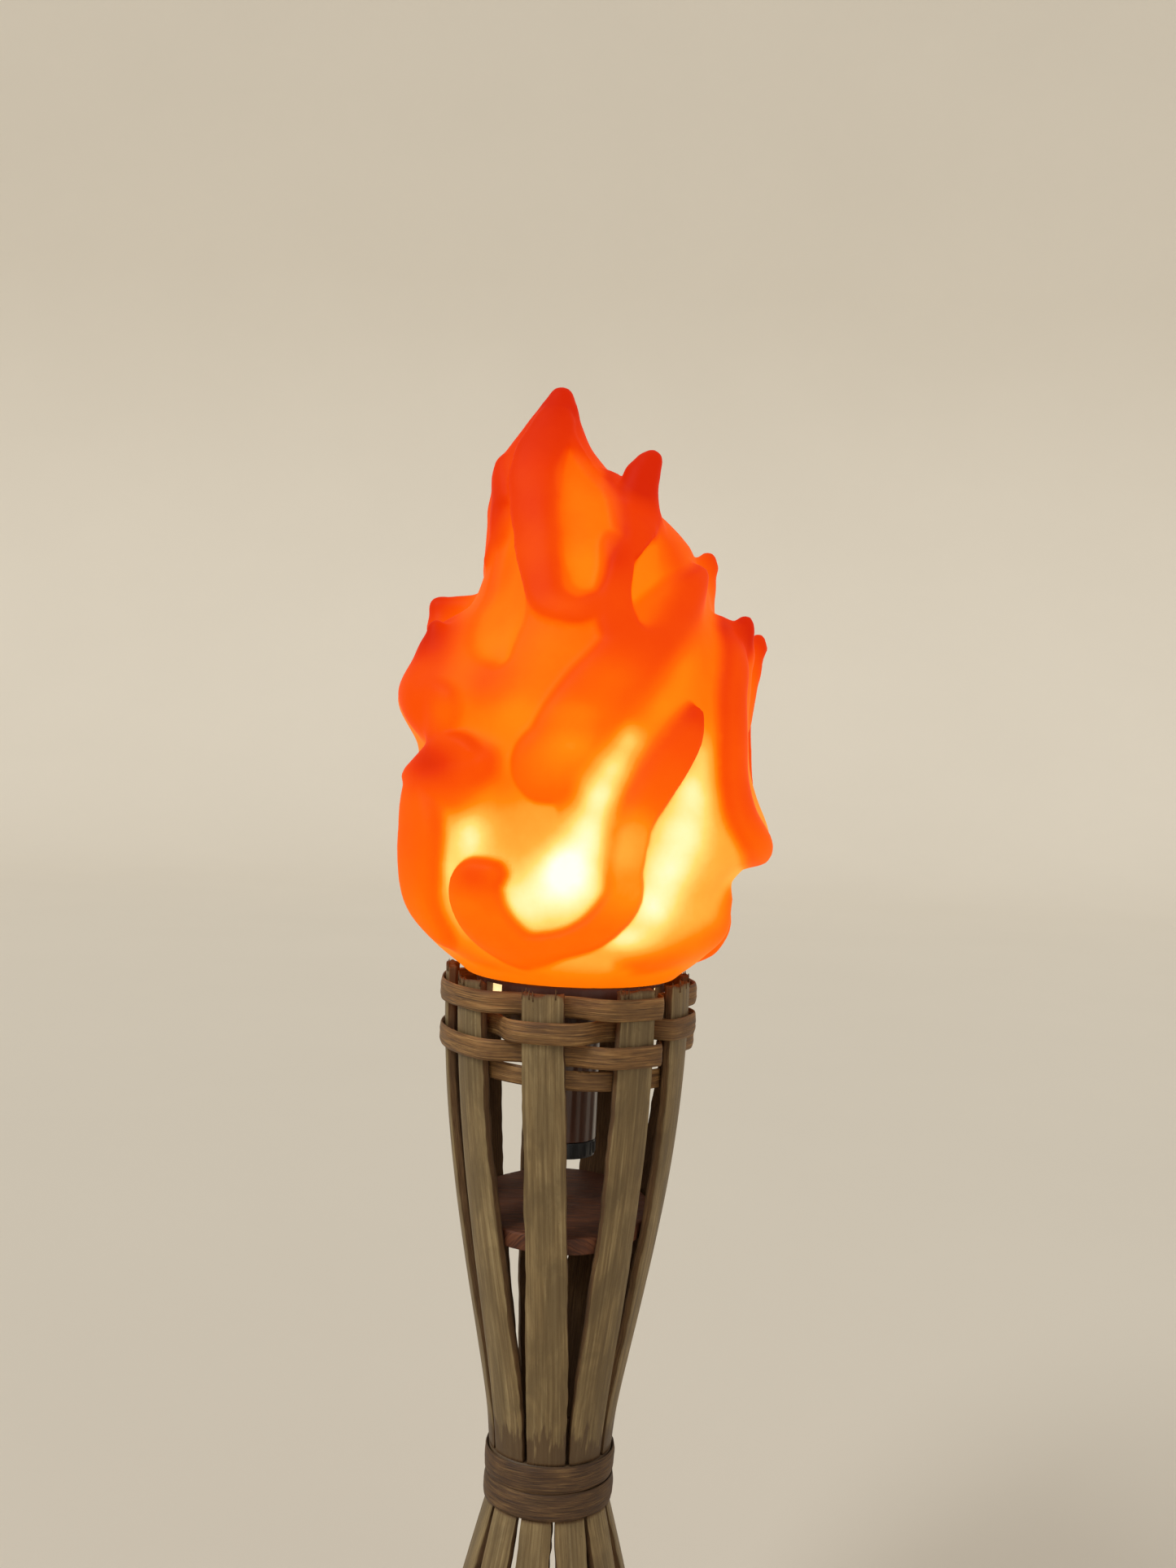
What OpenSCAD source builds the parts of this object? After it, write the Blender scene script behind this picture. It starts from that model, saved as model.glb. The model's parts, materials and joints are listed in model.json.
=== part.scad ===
// Tabletop bamboo torch with a battery lamp and a lift-off flame shade.
// Frame: origin on the floor at the centre of the foot, +Z up, front facing -Y.
// Turns are measured from the front, positive towards +X.

/* [Bamboo stand] */
// Height of the stand from the floor to the rim of the basket
stand_h = 350; // [330:5:370]
// Height of the uncut ring of pole that the strips are split from
waist_z = 150; // [140:5:160]
// Outer diameter of the bamboo pole at the waist
pole_d = 50; // [46:1:54]
// Outer diameter over the strips at the basket's mouth
mouth_d = 101; // [99:1:103]
// Outer diameter over the strips at the floor
foot_d = 116; // [110:2:130]
// Thickness of the pole's wall, and so of every strip
strip_t = 3.6; // [3:0.2:4]

/* [Basket weave] */
// Height of one strand of flat cane
cane_h = 8.8; // [8:0.2:9]
// Thickness of one strand of flat cane
cane_t = 1.8; // [1.4:0.2:2]

/* [Lamp] */
// Outer diameter of the battery tube that hangs in the basket
tube_d = 26; // [26:0.5:28]
// Height of the light source above the basket's rim
light_h = 45; // [40:1:50]

/* [Flame shade] */
// Height of the flame above the basket's rim
flame_h = 240; // [230:5:250]
// Width of the flame from side to side
flame_w = 156; // [150:2:160]
// Depth of the flame from front to back
flame_depth = 148; // [142:2:152]
// Thickness of the moulded wall
flame_wall = 3; // [2.5:0.5:4]

/* [Hidden] */
$fn = 96;

gap = 0.15;                      // air between pieces that only lie against each other
run = 0.3;                       // air between pieces that move apart

pole_r = pole_d / 2;
waist_h = 22;                    // length of the uncut ring
waist_top = waist_z + waist_h / 2;
waist_low = waist_z - waist_h / 2;
strip_steps = 15;
flare_power = 0.74;              // how early the basket opens above the waist

// Basket strips: turn at the waist is even, turn at the rim is where each strip ended up
basket_n = 9;
basket_w = 17;
rim_turn = [-12, 32, 62, 110, 158, 192, 227, 270, 307];
waist_turn0 = -3;
// How far the rough end of each strip stands above the rim
rim_poke = [1, 3, 4, 2, 4.5, 3, 5, 5, 3];

// Foot strips: the turn drifts a little from the waist to the floor
foot_n = 11;
foot_w = 13.6;
foot_turn0 = -10;
foot_drift = [0, 2, -3, 1, 3, -2, 0, 2, -1, 3, -2];

// Weave: the side on which each strand passes a strip, 1 outside and -1 inside
weave_a = [-1, 1, -1, 1, -1, 1, -1, 1, 1];
weave_b = [1, -1, 1, -1, 1, -1, 1, -1, -1];
foot_weave_a = [1, -1, 1, -1, 1, -1, 1, -1, 1, -1, -1];
foot_weave_b = [-1, 1, -1, 1, -1, 1, -1, 1, -1, 1, 1];
seat_slack = 1.6;                // how far the second strand sags inwards as the lamp's ledge
rim_z = [stand_h - cane_h / 2, stand_h - cane_h * 1.5 - 0.3, stand_h - cane_h * 2.5 - 0.6];
foot_cane_z = [cane_h * 1.5 + 7, cane_h * 2.5 + 7.3];
strip_sag = 1.5;                 // how far a strip's inner edges stand in from its middle

// Spreader discs
spreader_r = 36.4;
spreader_t = 7;
spreader_z = stand_h - 91;       // centre of the upper face
spreader_tilt = 6.5;             // the front edge has slipped down
foot_spreader_z = 62;
foot_spreader_r = 38.4;

// Lamp, from the ledge upwards and downwards
seat_z = rim_z[1] + cane_h / 2 + run;
plate_r = 42.6;
plate_t = 2;
plate_top = seat_z + plate_t;
wire_bore_r = 6;
contact_z = seat_z - 0.5;        // top of the contact board under the plate
flange_r = 20;
flange_t = 2;
tube_r = tube_d / 2;
tube_wall = 1.2;
tube_bore_r = tube_r - tube_wall;
tube_low = stand_h - 64;
collar_r = 34.4;
collar_t = 1.6;
collar_h = 6.6;
screw_r = 1.5;
screw_slack = 0.1;
screw_ring_r = 16.2;
screw_turns = [30, 150, 270];
stem_r = 9;
stem_bore_r = 7.2;
light_z = stand_h + light_h;
stem_top = light_z - 17;
stem_shoulder_r = 13;
stem_shoulder_t = 2;
stem_shoulder_z = stem_top - 2;  // upper face of the shoulder that the globe sits on
board_r = 10.8;
board_t = 1.6;
bulb_r = 14;
bulb_wall = 1.2;
wire_r = 0.7;
wire_offset = 3;

// Battery pack
cell_r = 5.15;
cell_len = 43.3;
cell_tip = 1.2;
cell_ring_r = 6.35;
cage_t = 1.4;
contact_t = 1.2;
cell_gap = 0.1;                  // air at each end of a cell
cage_top = contact_z - contact_t - cell_gap;
cell_top = cage_top - cage_t - cell_gap;
cage_low = cell_top - cell_len - cell_tip - cell_gap;

// Tail cap and switch
cap_h = 6.3;
cap_top = tube_low - run;
cap_low = cap_top - cap_h;
cap_floor = 1.8;
spigot_r = 11.2;
spigot_bore_r = 9.4;
spigot_h = 4;
button_r = 3.9;
button_flange_r = 5;
button_flange_t = 0.8;
button_travel = 0.8;
switch_r = 5.5;
switch_h = 2.6;
button_flange_z = cap_low + cap_floor + run;
switch_low = button_flange_z + button_flange_t + button_travel + run;

// Shade
ring_r = 38;
ring_bore_r = collar_r + run + 0.2;
ring_low = plate_top + run;
ring_top = stand_h + 2;
notch_w = 10;
notch_h = 6.8;
notch_turns = [-52, 68, 188];
shade_h = stand_h + flame_h - ring_top;

// Outline of the flame: share of its height, share of its half width
flame_outline = [[0, ring_r / (flame_w / 2)], [0.02, 0.61], [0.05, 0.75], [0.10, 0.87], [0.18, 0.94],
    [0.28, 0.96], [0.40, 0.92], [0.52, 0.82], [0.62, 0.68], [0.72, 0.58], [0.80, 0.50], [0.87, 0.38],
    [0.93, 0.23], [1, 0.05]];
flame_lean = -14.5;              // how far the main tip stands off the axis
ridge_n = 5;
ridge_h = 0.05;                  // height of the swirling ridges, as a share of the half width
ridge_swirl = 200;               // turn of the ridges over the whole height

tongue_tip_r = 3.5;
tongue_waist = 0.65;             // radius halfway up a tongue, as a share of its root's
// Tongues: turn, height of the root, height of the tip, reach of the root, reach of the tip, root radius
tongues = [
    [-38, 24, 44, 62, 71, 11], [42, 50, 112, 56, 68, 15], [-48, 50, 100, 54, 66, 17],
    [-70, 85, 151, 48, 59, 17], [-103, 95, 151, 48, 60, 16], [75, 80, 149, 50, 64, 16],
    [102, 75, 142, 54, 73, 16], [110, 120, 175, 34, 50, 14], [20, 110, 178, 34, 36, 14],
    [62, 145, 215, 24, 28, 12], [-120, 140, 212, 30, 44, 14], [150, 50, 120, 56, 68, 16],
    [176, 105, 184, 36, 44, 15], [205, 30, 98, 58, 69, 16], [232, 75, 140, 50, 60, 16]
];

// ---------------------------------------------------------------- shared shapes

function ease(t) = t * t * (3 - 2 * t);
function mix(a, b, t) = a + (b - a) * t;
function clamp01(t) = min(1, max(0, t));

// A point at a radius, a turn from the front and a height
function spot(r, turn, z) = [r * sin(turn), -r * cos(turn), z];

// The same, moved sideways along the tangent
function beside(r, turn, z, side) =
    [r * sin(turn) + side * cos(turn), -r * cos(turn) + side * sin(turn), z];

// A closed skin through equal rings of points, each counterclockwise seen from the far end
module loft(rings, looped = false) {
    n = len(rings[0]);
    m = len(rings);
    sides = [for (j = [0:(looped ? m : m - 1) - 1], i = [0:n - 1])
        let (a = j * n, b = ((j + 1) % m) * n, k = (i + 1) % n)
        each [[a + i, b + k, a + k], [a + i, b + i, b + k]]];
    ends = looped ? [] : [[for (i = [0:n - 1]) i], [for (i = [n - 1:-1:0]) (m - 1) * n + i]];
    polyhedron(points = [for (r = rings) each r], faces = concat(sides, ends));
}

module tube(r, bore_r, h) {
    difference() {
        cylinder(r = r, h = h);
        translate([0, 0, -1]) cylinder(r = bore_r, h = h + 2);
    }
}

module screw_holes(r, low, high) {
    for (turn = screw_turns)
        translate(spot(screw_ring_r, turn, low - 1)) cylinder(r = r, h = high - low + 2, $fn = 32);
}

// ---------------------------------------------------------------- bamboo stand

// Radius over the basket strips at a height
function basket_r(z) =
    mix(pole_r, mouth_d / 2, ease(pow(clamp01((z - waist_top) / (stand_h - waist_top)), flare_power)));

// Radius over the foot strips at a height
function foot_r(z) =
    let (t = (waist_low - z) / waist_low) pole_r + (foot_d / 2 - pole_r) * t * (1.15 - 0.15 * t);

function basket_turn(i, z) =
    mix(waist_turn0 + i * 360 / basket_n, rim_turn[i], clamp01((z - waist_top) / (stand_h - waist_top)));

function foot_turn(i, z) =
    foot_turn0 + i * 360 / foot_n + foot_drift[i] * clamp01((waist_low - z) / waist_low);

// Cross-section of a strip: it keeps the pole's own curve, and its edges clear the next strip's
function strip_section(r, turn, z, w, n) =
    let (half_pitch = 172 / n,
         outer = min(w / 2, r * sin(half_pitch) - gap),
         inner = min(w / 2, (r - strip_t) * sin(half_pitch) - gap),
         bore_r = pole_r - strip_t,
         outer_sag = pole_r - sqrt(pole_r * pole_r - outer * outer),
         inner_sag = bore_r - sqrt(bore_r * bore_r - inner * inner))
    [beside(r - outer_sag, turn, z, -outer), beside(r, turn, z, 0), beside(r - outer_sag, turn, z, outer),
     beside(r - strip_t - inner_sag, turn, z, inner), beside(r - strip_t, turn, z, 0),
     beside(r - strip_t - inner_sag, turn, z, -inner)];

module basket_strip(i) {
    top = stand_h + rim_poke[i];
    color("peru") loft([for (k = [0:strip_steps])
        let (z = mix(waist_top, top, k / strip_steps))
        strip_section(basket_r(z), basket_turn(i, z), z, basket_w, basket_n)]);
}

module foot_strip(i) {
    color("burlywood") loft([for (k = [0:strip_steps])
        let (z = mix(0, waist_low, k / strip_steps))
        strip_section(foot_r(z), foot_turn(i, z), z, foot_w, foot_n)]);
}

// The uncut ring of pole, closed across its middle by the bamboo's own joint wall
module waist_ring() {
    wall_t = 4;
    color("tan") translate([0, 0, waist_low]) {
        tube(pole_r - gap, pole_r - strip_t, waist_h);
        translate([0, 0, (waist_h - wall_t) / 2]) cylinder(r = pole_r - strip_t + 0.5, h = wall_t);
    }
}

// One strand of flat cane woven around strips that stand at the given turns
module weaver(z, strip_turns, sides, strip_r, half_turn, slack = 0) {
    n = len(sides);
    steps = 10;
    out_r = strip_r + gap + cane_t / 2;
    in_r = strip_r - strip_t - strip_sag - gap - cane_t / 2 - slack;
    ring = [for (i = [0:n - 1], k = [0:steps - 1])
        let (a = strip_turns[i], b = strip_turns[(i + 1) % n] + (i == n - 1 ? 360 : 0),
             turn = mix(a, b, k / steps),
             t = clamp01((turn - a - half_turn) / (b - a - 2 * half_turn)),
             side = mix(sides[i], sides[(i + 1) % n], ease(t)))
        [turn, mix(in_r, out_r, (side + 1) / 2)]];
    loft([for (p = ring)
        [spot(p[1] - cane_t / 2, p[0], z - cane_h / 2), spot(p[1] - cane_t / 2, p[0], z + cane_h / 2),
         spot(p[1] + cane_t / 2, p[0], z + cane_h / 2), spot(p[1] + cane_t / 2, p[0], z - cane_h / 2)]],
        looped = true);
}

module rim_weaver(k) {
    half_turn = 11.5;            // half the turn that a strip takes up
    z = rim_z[k];
    turns = [for (i = [0:basket_n - 1]) basket_turn(i, z)];
    slack = k == 1 ? seat_slack : 0;
    color("sienna") weaver(z, turns, k == 1 ? weave_b : weave_a, basket_r(z + cane_h / 2), half_turn, slack);
}

module foot_weaver(k) {
    half_turn = 8.5;
    slack = 1.2;
    z = foot_cane_z[k];
    turns = [for (i = [0:foot_n - 1]) foot_turn(i, z)];
    sides = k == 0 ? foot_weave_a : foot_weave_b;
    color("sienna") weaver(z, turns, sides, foot_r(z - cane_h / 2), half_turn, slack);
}

// Two turns of split rattan over the waist, each a low bulge with thinner edges
module waist_binding() {
    wrap_h = waist_h / 2;
    seam = 0.1;
    edge_r = pole_r + 0.8;
    shoulder_r = pole_r + 1.3;
    shoulder_h = 1.8;
    crown_r = pole_r + 1.5;
    color("saddlebrown") for (k = [0, 1])
        translate([0, 0, waist_low + k * wrap_h]) rotate_extrude() polygon([
            [pole_r + gap, seam], [edge_r, seam], [shoulder_r, shoulder_h], [crown_r, wrap_h / 2],
            [shoulder_r, wrap_h - shoulder_h], [edge_r, wrap_h - seam], [pole_r + gap, wrap_h - seam]]);
}

module basket_spreader() {
    color("maroon") translate([0, 0, spreader_z]) rotate([spreader_tilt, 0, 0])
        translate([0, 0, -spreader_t]) cylinder(r = spreader_r, h = spreader_t);
}

module foot_spreader() {
    color("maroon") translate([0, 0, foot_spreader_z]) cylinder(r = foot_spreader_r, h = spreader_t);
}

// ---------------------------------------------------------------- lamp

// Round plate that rests on the second strand of the rim
module mount_plate() {
    color("dimgray") difference() {
        translate([0, 0, seat_z]) tube(plate_r, wire_bore_r, plate_t);
        screw_holes(screw_r + screw_slack, seat_z, plate_top);
    }
}

module battery_tube() {
    color("saddlebrown") difference() {
        union() {
            translate([0, 0, tube_low]) tube(tube_r, tube_bore_r, seat_z - tube_low);
            translate([0, 0, seat_z - flange_t]) tube(flange_r, tube_bore_r, flange_t);
        }
        screw_holes(screw_r + screw_slack, seat_z - flange_t, seat_z);
    }
}

module lamp_stem() {
    color("black") difference() {
        union() {
            translate([0, 0, plate_top]) tube(flange_r, stem_bore_r, flange_t);
            translate([0, 0, plate_top]) tube(stem_r, stem_bore_r, stem_top - plate_top);
            translate([0, 0, stem_shoulder_z - stem_shoulder_t])
                tube(stem_shoulder_r, stem_bore_r, stem_shoulder_t);
        }
        screw_holes(screw_r + screw_slack, plate_top, plate_top + flange_t);
    }
}

// Frosted ring that centres the shade on the plate
module light_collar() {
    color("white") translate([0, 0, plate_top]) tube(collar_r, collar_r - collar_t, collar_h);
}

module plate_screws() {
    head_r = 2.8;
    head_h = 1.6;
    slot_w = 0.6;
    slot_l = 4;
    slot_z = head_h - 0.8;
    shank = 2 * flange_t + plate_t + 0.1;
    color("silver") for (turn = screw_turns) translate(spot(screw_ring_r, turn, 0)) {
        translate([0, 0, seat_z - flange_t]) cylinder(r = screw_r, h = shank, $fn = 32);
        translate([0, 0, plate_top + flange_t]) difference() {
            cylinder(r = head_r, h = head_h, $fn = 32);
            for (side = [0, 90]) rotate([0, 0, side])
                translate([-slot_l / 2, -slot_w / 2, slot_z]) cube([slot_l, slot_w, head_h]);
        }
    }
}

module led_board() {
    color("green") translate([0, 0, stem_top]) cylinder(r = board_r, h = board_t);
}

module led_emitter() {
    base_r = 3.4;
    base_h = 1.2;
    dome_r = 2.6;
    color("yellow") translate([0, 0, stem_top + board_t]) {
        cylinder(r = base_r, h = base_h);
        translate([0, 0, base_h]) rotate_extrude() intersection() {
            circle(r = dome_r, $fn = 48);
            square(dome_r + 1);
        }
    }
}

// Frosted globe over the light source, open below where it sits on the stem's shoulder
module diffuser_bulb() {
    neck_r = stem_shoulder_r - 0.4;
    neck_h = light_z - stem_shoulder_z - 4;
    color("white") difference() {
        union() {
            translate([0, 0, light_z]) sphere(r = bulb_r);
            translate([0, 0, stem_shoulder_z]) cylinder(r = neck_r, h = neck_h);
        }
        translate([0, 0, light_z]) sphere(r = bulb_r - bulb_wall);
        translate([0, 0, stem_shoulder_z - 1]) cylinder(r = neck_r - bulb_wall, h = neck_h);
    }
}

module lead_wires() {
    wire_l = stem_top - contact_z;
    color("red") for (side = [-1, 1])
        translate([side * wire_offset, 0, contact_z]) cylinder(r = wire_r, h = wire_l, $fn = 24);
}

module contact_board() {
    color("darkgreen") translate([0, 0, contact_z - contact_t])
        cylinder(r = tube_bore_r - gap, h = contact_t);
}

module cell(k) {
    tip_r = 1.9;
    color("gold") translate(spot(cell_ring_r, k * 120, cage_low + cell_gap)) {
        cylinder(r = cell_r, h = cell_len);
        translate([0, 0, cell_len]) cylinder(r = tip_r, h = cell_tip, $fn = 32);
    }
}

// End plates of the battery holder, tied by a thin post between the cells
module cell_cage() {
    post_r = 1;
    plate_r = tube_bore_r - gap;
    color("gray") {
        translate([0, 0, cell_top]) cylinder(r = plate_r, h = cage_t);
        translate([0, 0, cage_low - cage_t]) cylinder(r = plate_r, h = cage_t);
        translate([0, 0, cage_low - 0.1]) cylinder(r = post_r, h = cell_top - cage_low + 0.2, $fn = 24);
    }
}

// Conical coil between the switch and the battery holder
module contact_spring() {
    wire = 0.45;
    wide = 5;
    narrow = 3;
    turns = 3;
    per_turn = 12;
    low = switch_low + switch_h + wire + 0.05;
    high = cage_low - cage_t - wire - 0.1;
    color("silver") loft([for (k = [0:turns * per_turn])
        let (t = k / (turns * per_turn), turn = k * 360 / per_turn,
             r = mix(wide, narrow, t), z = mix(low, high, t))
        [for (c = [0:5]) spot(r + wire * cos(-c * 60), turn, z + wire * sin(-c * 60))]]);
}

// ---------------------------------------------------------------- tail cap

module tail_cap() {
    ribs = 24;
    rib_r = 0.5;
    rib_inset = 0.8;             // how far the grip ribs stop short of the cap's edges
    groove_z = cap_top + 1.4;
    groove_h = 1.2;
    groove_depth = 0.8;
    color("black") difference() {
        union() {
            translate([0, 0, cap_low]) cylinder(r = tube_r - 0.3, h = cap_h);
            translate([0, 0, cap_top]) cylinder(r = spigot_r, h = spigot_h);
            for (k = [0:ribs - 1]) translate(spot(tube_r - 0.4, k * 360 / ribs, cap_low + rib_inset))
                cylinder(r = rib_r, h = cap_h - 2 * rib_inset, $fn = 16);
        }
        translate([0, 0, cap_low + cap_floor]) cylinder(r = spigot_bore_r, h = cap_h + spigot_h);
        translate([0, 0, cap_low - 1]) cylinder(r = button_r + run, h = cap_floor + 2);
        translate([0, 0, groove_z]) tube(spigot_r + 1, spigot_r - groove_depth, groove_h);
    }
}

// Rubber ring in the spigot's groove
module cap_seal() {
    cord_r = 0.5;
    color("dimgray") translate([0, 0, cap_top + 2]) rotate_extrude()
        translate([spigot_r - 0.2, 0]) circle(r = cord_r, $fn = 24);
}

// Switch held across the cap's bore by its round flange
module switch_body() {
    flange = 0.8;
    color("white") translate([0, 0, switch_low]) {
        cylinder(r = switch_r, h = switch_h);
        translate([0, 0, switch_h - flange]) cylinder(r = spigot_bore_r - gap, h = flange);
    }
}

// Soft button: a boss through the cap's floor, a flange above it and a bevelled face below
module push_button() {
    bevel = 1;
    face_h = 1.2;
    color("darkred") {
        translate([0, 0, cap_low]) cylinder(r = button_r, h = cap_floor + run + button_flange_t / 2);
        translate([0, 0, button_flange_z]) cylinder(r = button_flange_r, h = button_flange_t);
        translate([0, 0, cap_low - face_h]) cylinder(r1 = button_r - bevel, r2 = button_r, h = face_h);
    }
}

// ---------------------------------------------------------------- flame shade

// Rings of points over the flame's outline, drawn in by a wall thickness
function flame_rings(rows, columns, inset, top) = [for (k = [0:rows])
    let (t = top * k / rows, half = lookup(t, flame_outline),
         lean = flame_lean * ease(clamp01((t - 0.5) / 0.5)))
    [for (c = [0:columns - 1])
        let (turn = c * 360 / columns,
             ridge = ridge_h * sin(ridge_n * turn - ridge_swirl * t) * sqrt(sin(180 * clamp01(t))),
             reach = half * (1 + ridge) - inset / (flame_w / 2),
             round_up = mix(1, flame_depth / flame_w, clamp01(t / 0.1)),
             r = max(0.8, reach * flame_w / 2))
        [r * sin(turn) + lean, -r * round_up * cos(turn), ring_top + t * shade_h]]];

// A curved tongue of flame that bends upwards from the body
module tongue(turn, root_z, tip_z, root_reach, tip_reach, size) {
    z0 = stand_h + root_z;
    z1 = stand_h + tip_z - tongue_tip_r;
    mid = spot(mix(root_reach, tip_reach, 0.7), turn, mix(z0, z1, 0.5));
    hull() {
        translate(spot(root_reach - size, turn, z0)) sphere(r = size, $fn = 10);
        translate(mid) sphere(r = size * tongue_waist, $fn = 10);
    }
    hull() {
        translate(mid) sphere(r = size * tongue_waist, $fn = 10);
        translate(spot(tip_reach - tongue_tip_r, turn, z1)) sphere(r = tongue_tip_r, $fn = 8);
    }
}

module flame_shade() {
    color("orangered") difference() {
        union() {
            loft(flame_rings(26, 40, 0, 1));
            for (t = tongues) tongue(t[0], t[1], t[2], t[3], t[4], t[5]);
        }
        loft(flame_rings(16, 28, flame_wall, 0.9));
        translate([0, 0, ring_top - 1]) cylinder(r = ring_bore_r, h = 4, $fn = 48);
    }
}

// Hard ring bonded into the shade's mouth, with three notches in its lower edge
module shade_ring() {
    color("brown") difference() {
        translate([0, 0, ring_low]) tube(ring_r, ring_bore_r, ring_top - ring_low);
        for (turn = notch_turns) rotate([0, 0, turn])
            translate([-notch_w / 2, -ring_r - 1, ring_low - 1]) cube([notch_w, 8, notch_h + 1]);
    }
}

waist_ring();
basket_strip(0);  // basket_strip_1
basket_strip(1);  // basket_strip_2
basket_strip(2);  // basket_strip_3
basket_strip(3);  // basket_strip_4
basket_strip(4);  // basket_strip_5
basket_strip(5);  // basket_strip_6
basket_strip(6);  // basket_strip_7
basket_strip(7);  // basket_strip_8
basket_strip(8);  // basket_strip_9
foot_strip(0);  // foot_strip_1
foot_strip(1);  // foot_strip_2
foot_strip(2);  // foot_strip_3
foot_strip(3);  // foot_strip_4
foot_strip(4);  // foot_strip_5
foot_strip(5);  // foot_strip_6
foot_strip(6);  // foot_strip_7
foot_strip(7);  // foot_strip_8
foot_strip(8);  // foot_strip_9
foot_strip(9);  // foot_strip_10
foot_strip(10);  // foot_strip_11
rim_weaver(0);  // rim_weaver_1
rim_weaver(1);  // rim_weaver_2
rim_weaver(2);  // rim_weaver_3
foot_weaver(0);  // foot_weaver_1
foot_weaver(1);  // foot_weaver_2
waist_binding();
basket_spreader();
foot_spreader();
mount_plate();
battery_tube();
lamp_stem();
light_collar();
plate_screws();
led_board();
led_emitter();
diffuser_bulb();
lead_wires();
contact_board();
cell(0);  // cell_1
cell(1);  // cell_2
cell(2);  // cell_3
cell_cage();
contact_spring();
tail_cap();
cap_seal();
switch_body();
push_button();
flame_shade();
shade_ring();
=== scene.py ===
"""Looks of the bamboo tabletop torch: camera, studio, bamboo, cane, lamp finishes and the flame shade.

Shapes are worked out in millimetres and turned into metres when a mesh is made. A turn is measured in
degrees from the front, positive towards +X, as in the CAD source.
"""
import json
import math

import bpy
import numpy as np
import openvdb
from mathutils import Matrix, Vector


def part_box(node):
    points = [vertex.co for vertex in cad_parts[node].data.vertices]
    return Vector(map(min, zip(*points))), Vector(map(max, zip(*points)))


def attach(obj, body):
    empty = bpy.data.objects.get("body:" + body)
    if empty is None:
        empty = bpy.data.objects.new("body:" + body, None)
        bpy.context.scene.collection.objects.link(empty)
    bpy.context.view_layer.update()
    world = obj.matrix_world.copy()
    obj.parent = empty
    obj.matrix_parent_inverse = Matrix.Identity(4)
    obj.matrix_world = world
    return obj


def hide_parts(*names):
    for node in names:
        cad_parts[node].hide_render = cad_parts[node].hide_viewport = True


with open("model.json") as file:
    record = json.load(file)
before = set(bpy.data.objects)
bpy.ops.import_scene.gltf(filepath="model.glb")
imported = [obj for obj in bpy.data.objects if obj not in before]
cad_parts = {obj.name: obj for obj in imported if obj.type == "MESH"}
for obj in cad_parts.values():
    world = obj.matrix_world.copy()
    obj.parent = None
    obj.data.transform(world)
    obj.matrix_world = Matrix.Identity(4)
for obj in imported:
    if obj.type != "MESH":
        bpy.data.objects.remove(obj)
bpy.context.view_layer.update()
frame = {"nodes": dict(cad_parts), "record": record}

MM = 0.001
SLOT_OF = {part["node"]: part["material_slot"] for part in frame["record"]["subparts"]}


# ---- numbers and noise

def ease(t):
    t = np.clip(t, 0, 1)
    return t * t * (3 - 2 * t)


def mix(a, b, t):
    return a + (b - a) * t


def lattice(i, j, k, seed):
    """A fixed random number from -1 to 1 for each whole-number point."""
    h = i * 374761393 + j * 668265263 + k * 1274126177 + seed * 974634777
    h = (h ^ (h >> 13)) * 1103515245 & 0xFFFFFFFF
    return ((h ^ (h >> 16)) & 0xFFFF) / 32767.5 - 1


def noise(x, y=0.0, z=0.0, seed=0):
    """Smooth noise from -1 to 1, one lump per unit."""
    x, y, z = np.broadcast_arrays(*(np.asarray(c, float) for c in (x, y, z)))
    whole = [np.floor(c).astype(np.int64) for c in (x, y, z)]
    part = [ease(c - w) for c, w in zip((x, y, z), whole)]
    total = np.zeros(x.shape)
    for corner in range(8):
        steps = [corner & 1, corner >> 1 & 1, corner >> 2 & 1]
        weight = np.ones(x.shape)
        for s, p in zip(steps, part):
            weight = weight * (p if s else 1 - p)
        total += weight * lattice(whole[0] + steps[0], whole[1] + steps[1], whole[2] + steps[2], seed)
    return total


def spline(knots, count):
    """Smooth curve through rows of knots, evaluated at evenly spaced knot parameters."""
    knots = np.asarray(knots, float)
    first, last = 2 * knots[0] - knots[1], 2 * knots[-1] - knots[-2]
    padded = np.concatenate([first[None], knots, last[None]])
    t = np.linspace(0, len(knots) - 1, count)
    i = np.minimum(t.astype(int), len(knots) - 2)
    u = (t - i).reshape(-1, *[1] * (knots.ndim - 1))
    a, b, c, d = padded[i], padded[i + 1], padded[i + 2], padded[i + 3]
    return b + 0.5 * u * (c - a + u * (2 * a - 5 * b + 4 * c - d + u * (3 * (b - c) + d - a)))


def columns_of(*values):
    """Values of any matching shapes, side by side along a new last axis."""
    return np.stack(np.broadcast_arrays(*values), -1)


def spot(r, turn, z):
    """A point in space from a radius, a turn and a height."""
    a = np.radians(turn)
    return columns_of(r * np.sin(a), -r * np.cos(a), z)


# ---- meshes

def node_points(name):
    """The separate points of a CAD node, in mm."""
    mesh = frame["nodes"][name].data
    co = np.zeros(len(mesh.vertices) * 3)
    mesh.vertices.foreach_get("co", co)
    return np.unique(np.round(co.reshape(-1, 3) / MM, 3), axis=0)


def add_object(name, data):
    """A new object in the scene's own collection."""
    made = bpy.data.objects.new(name, data)
    bpy.context.scene.collection.objects.link(made)
    return made


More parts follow.
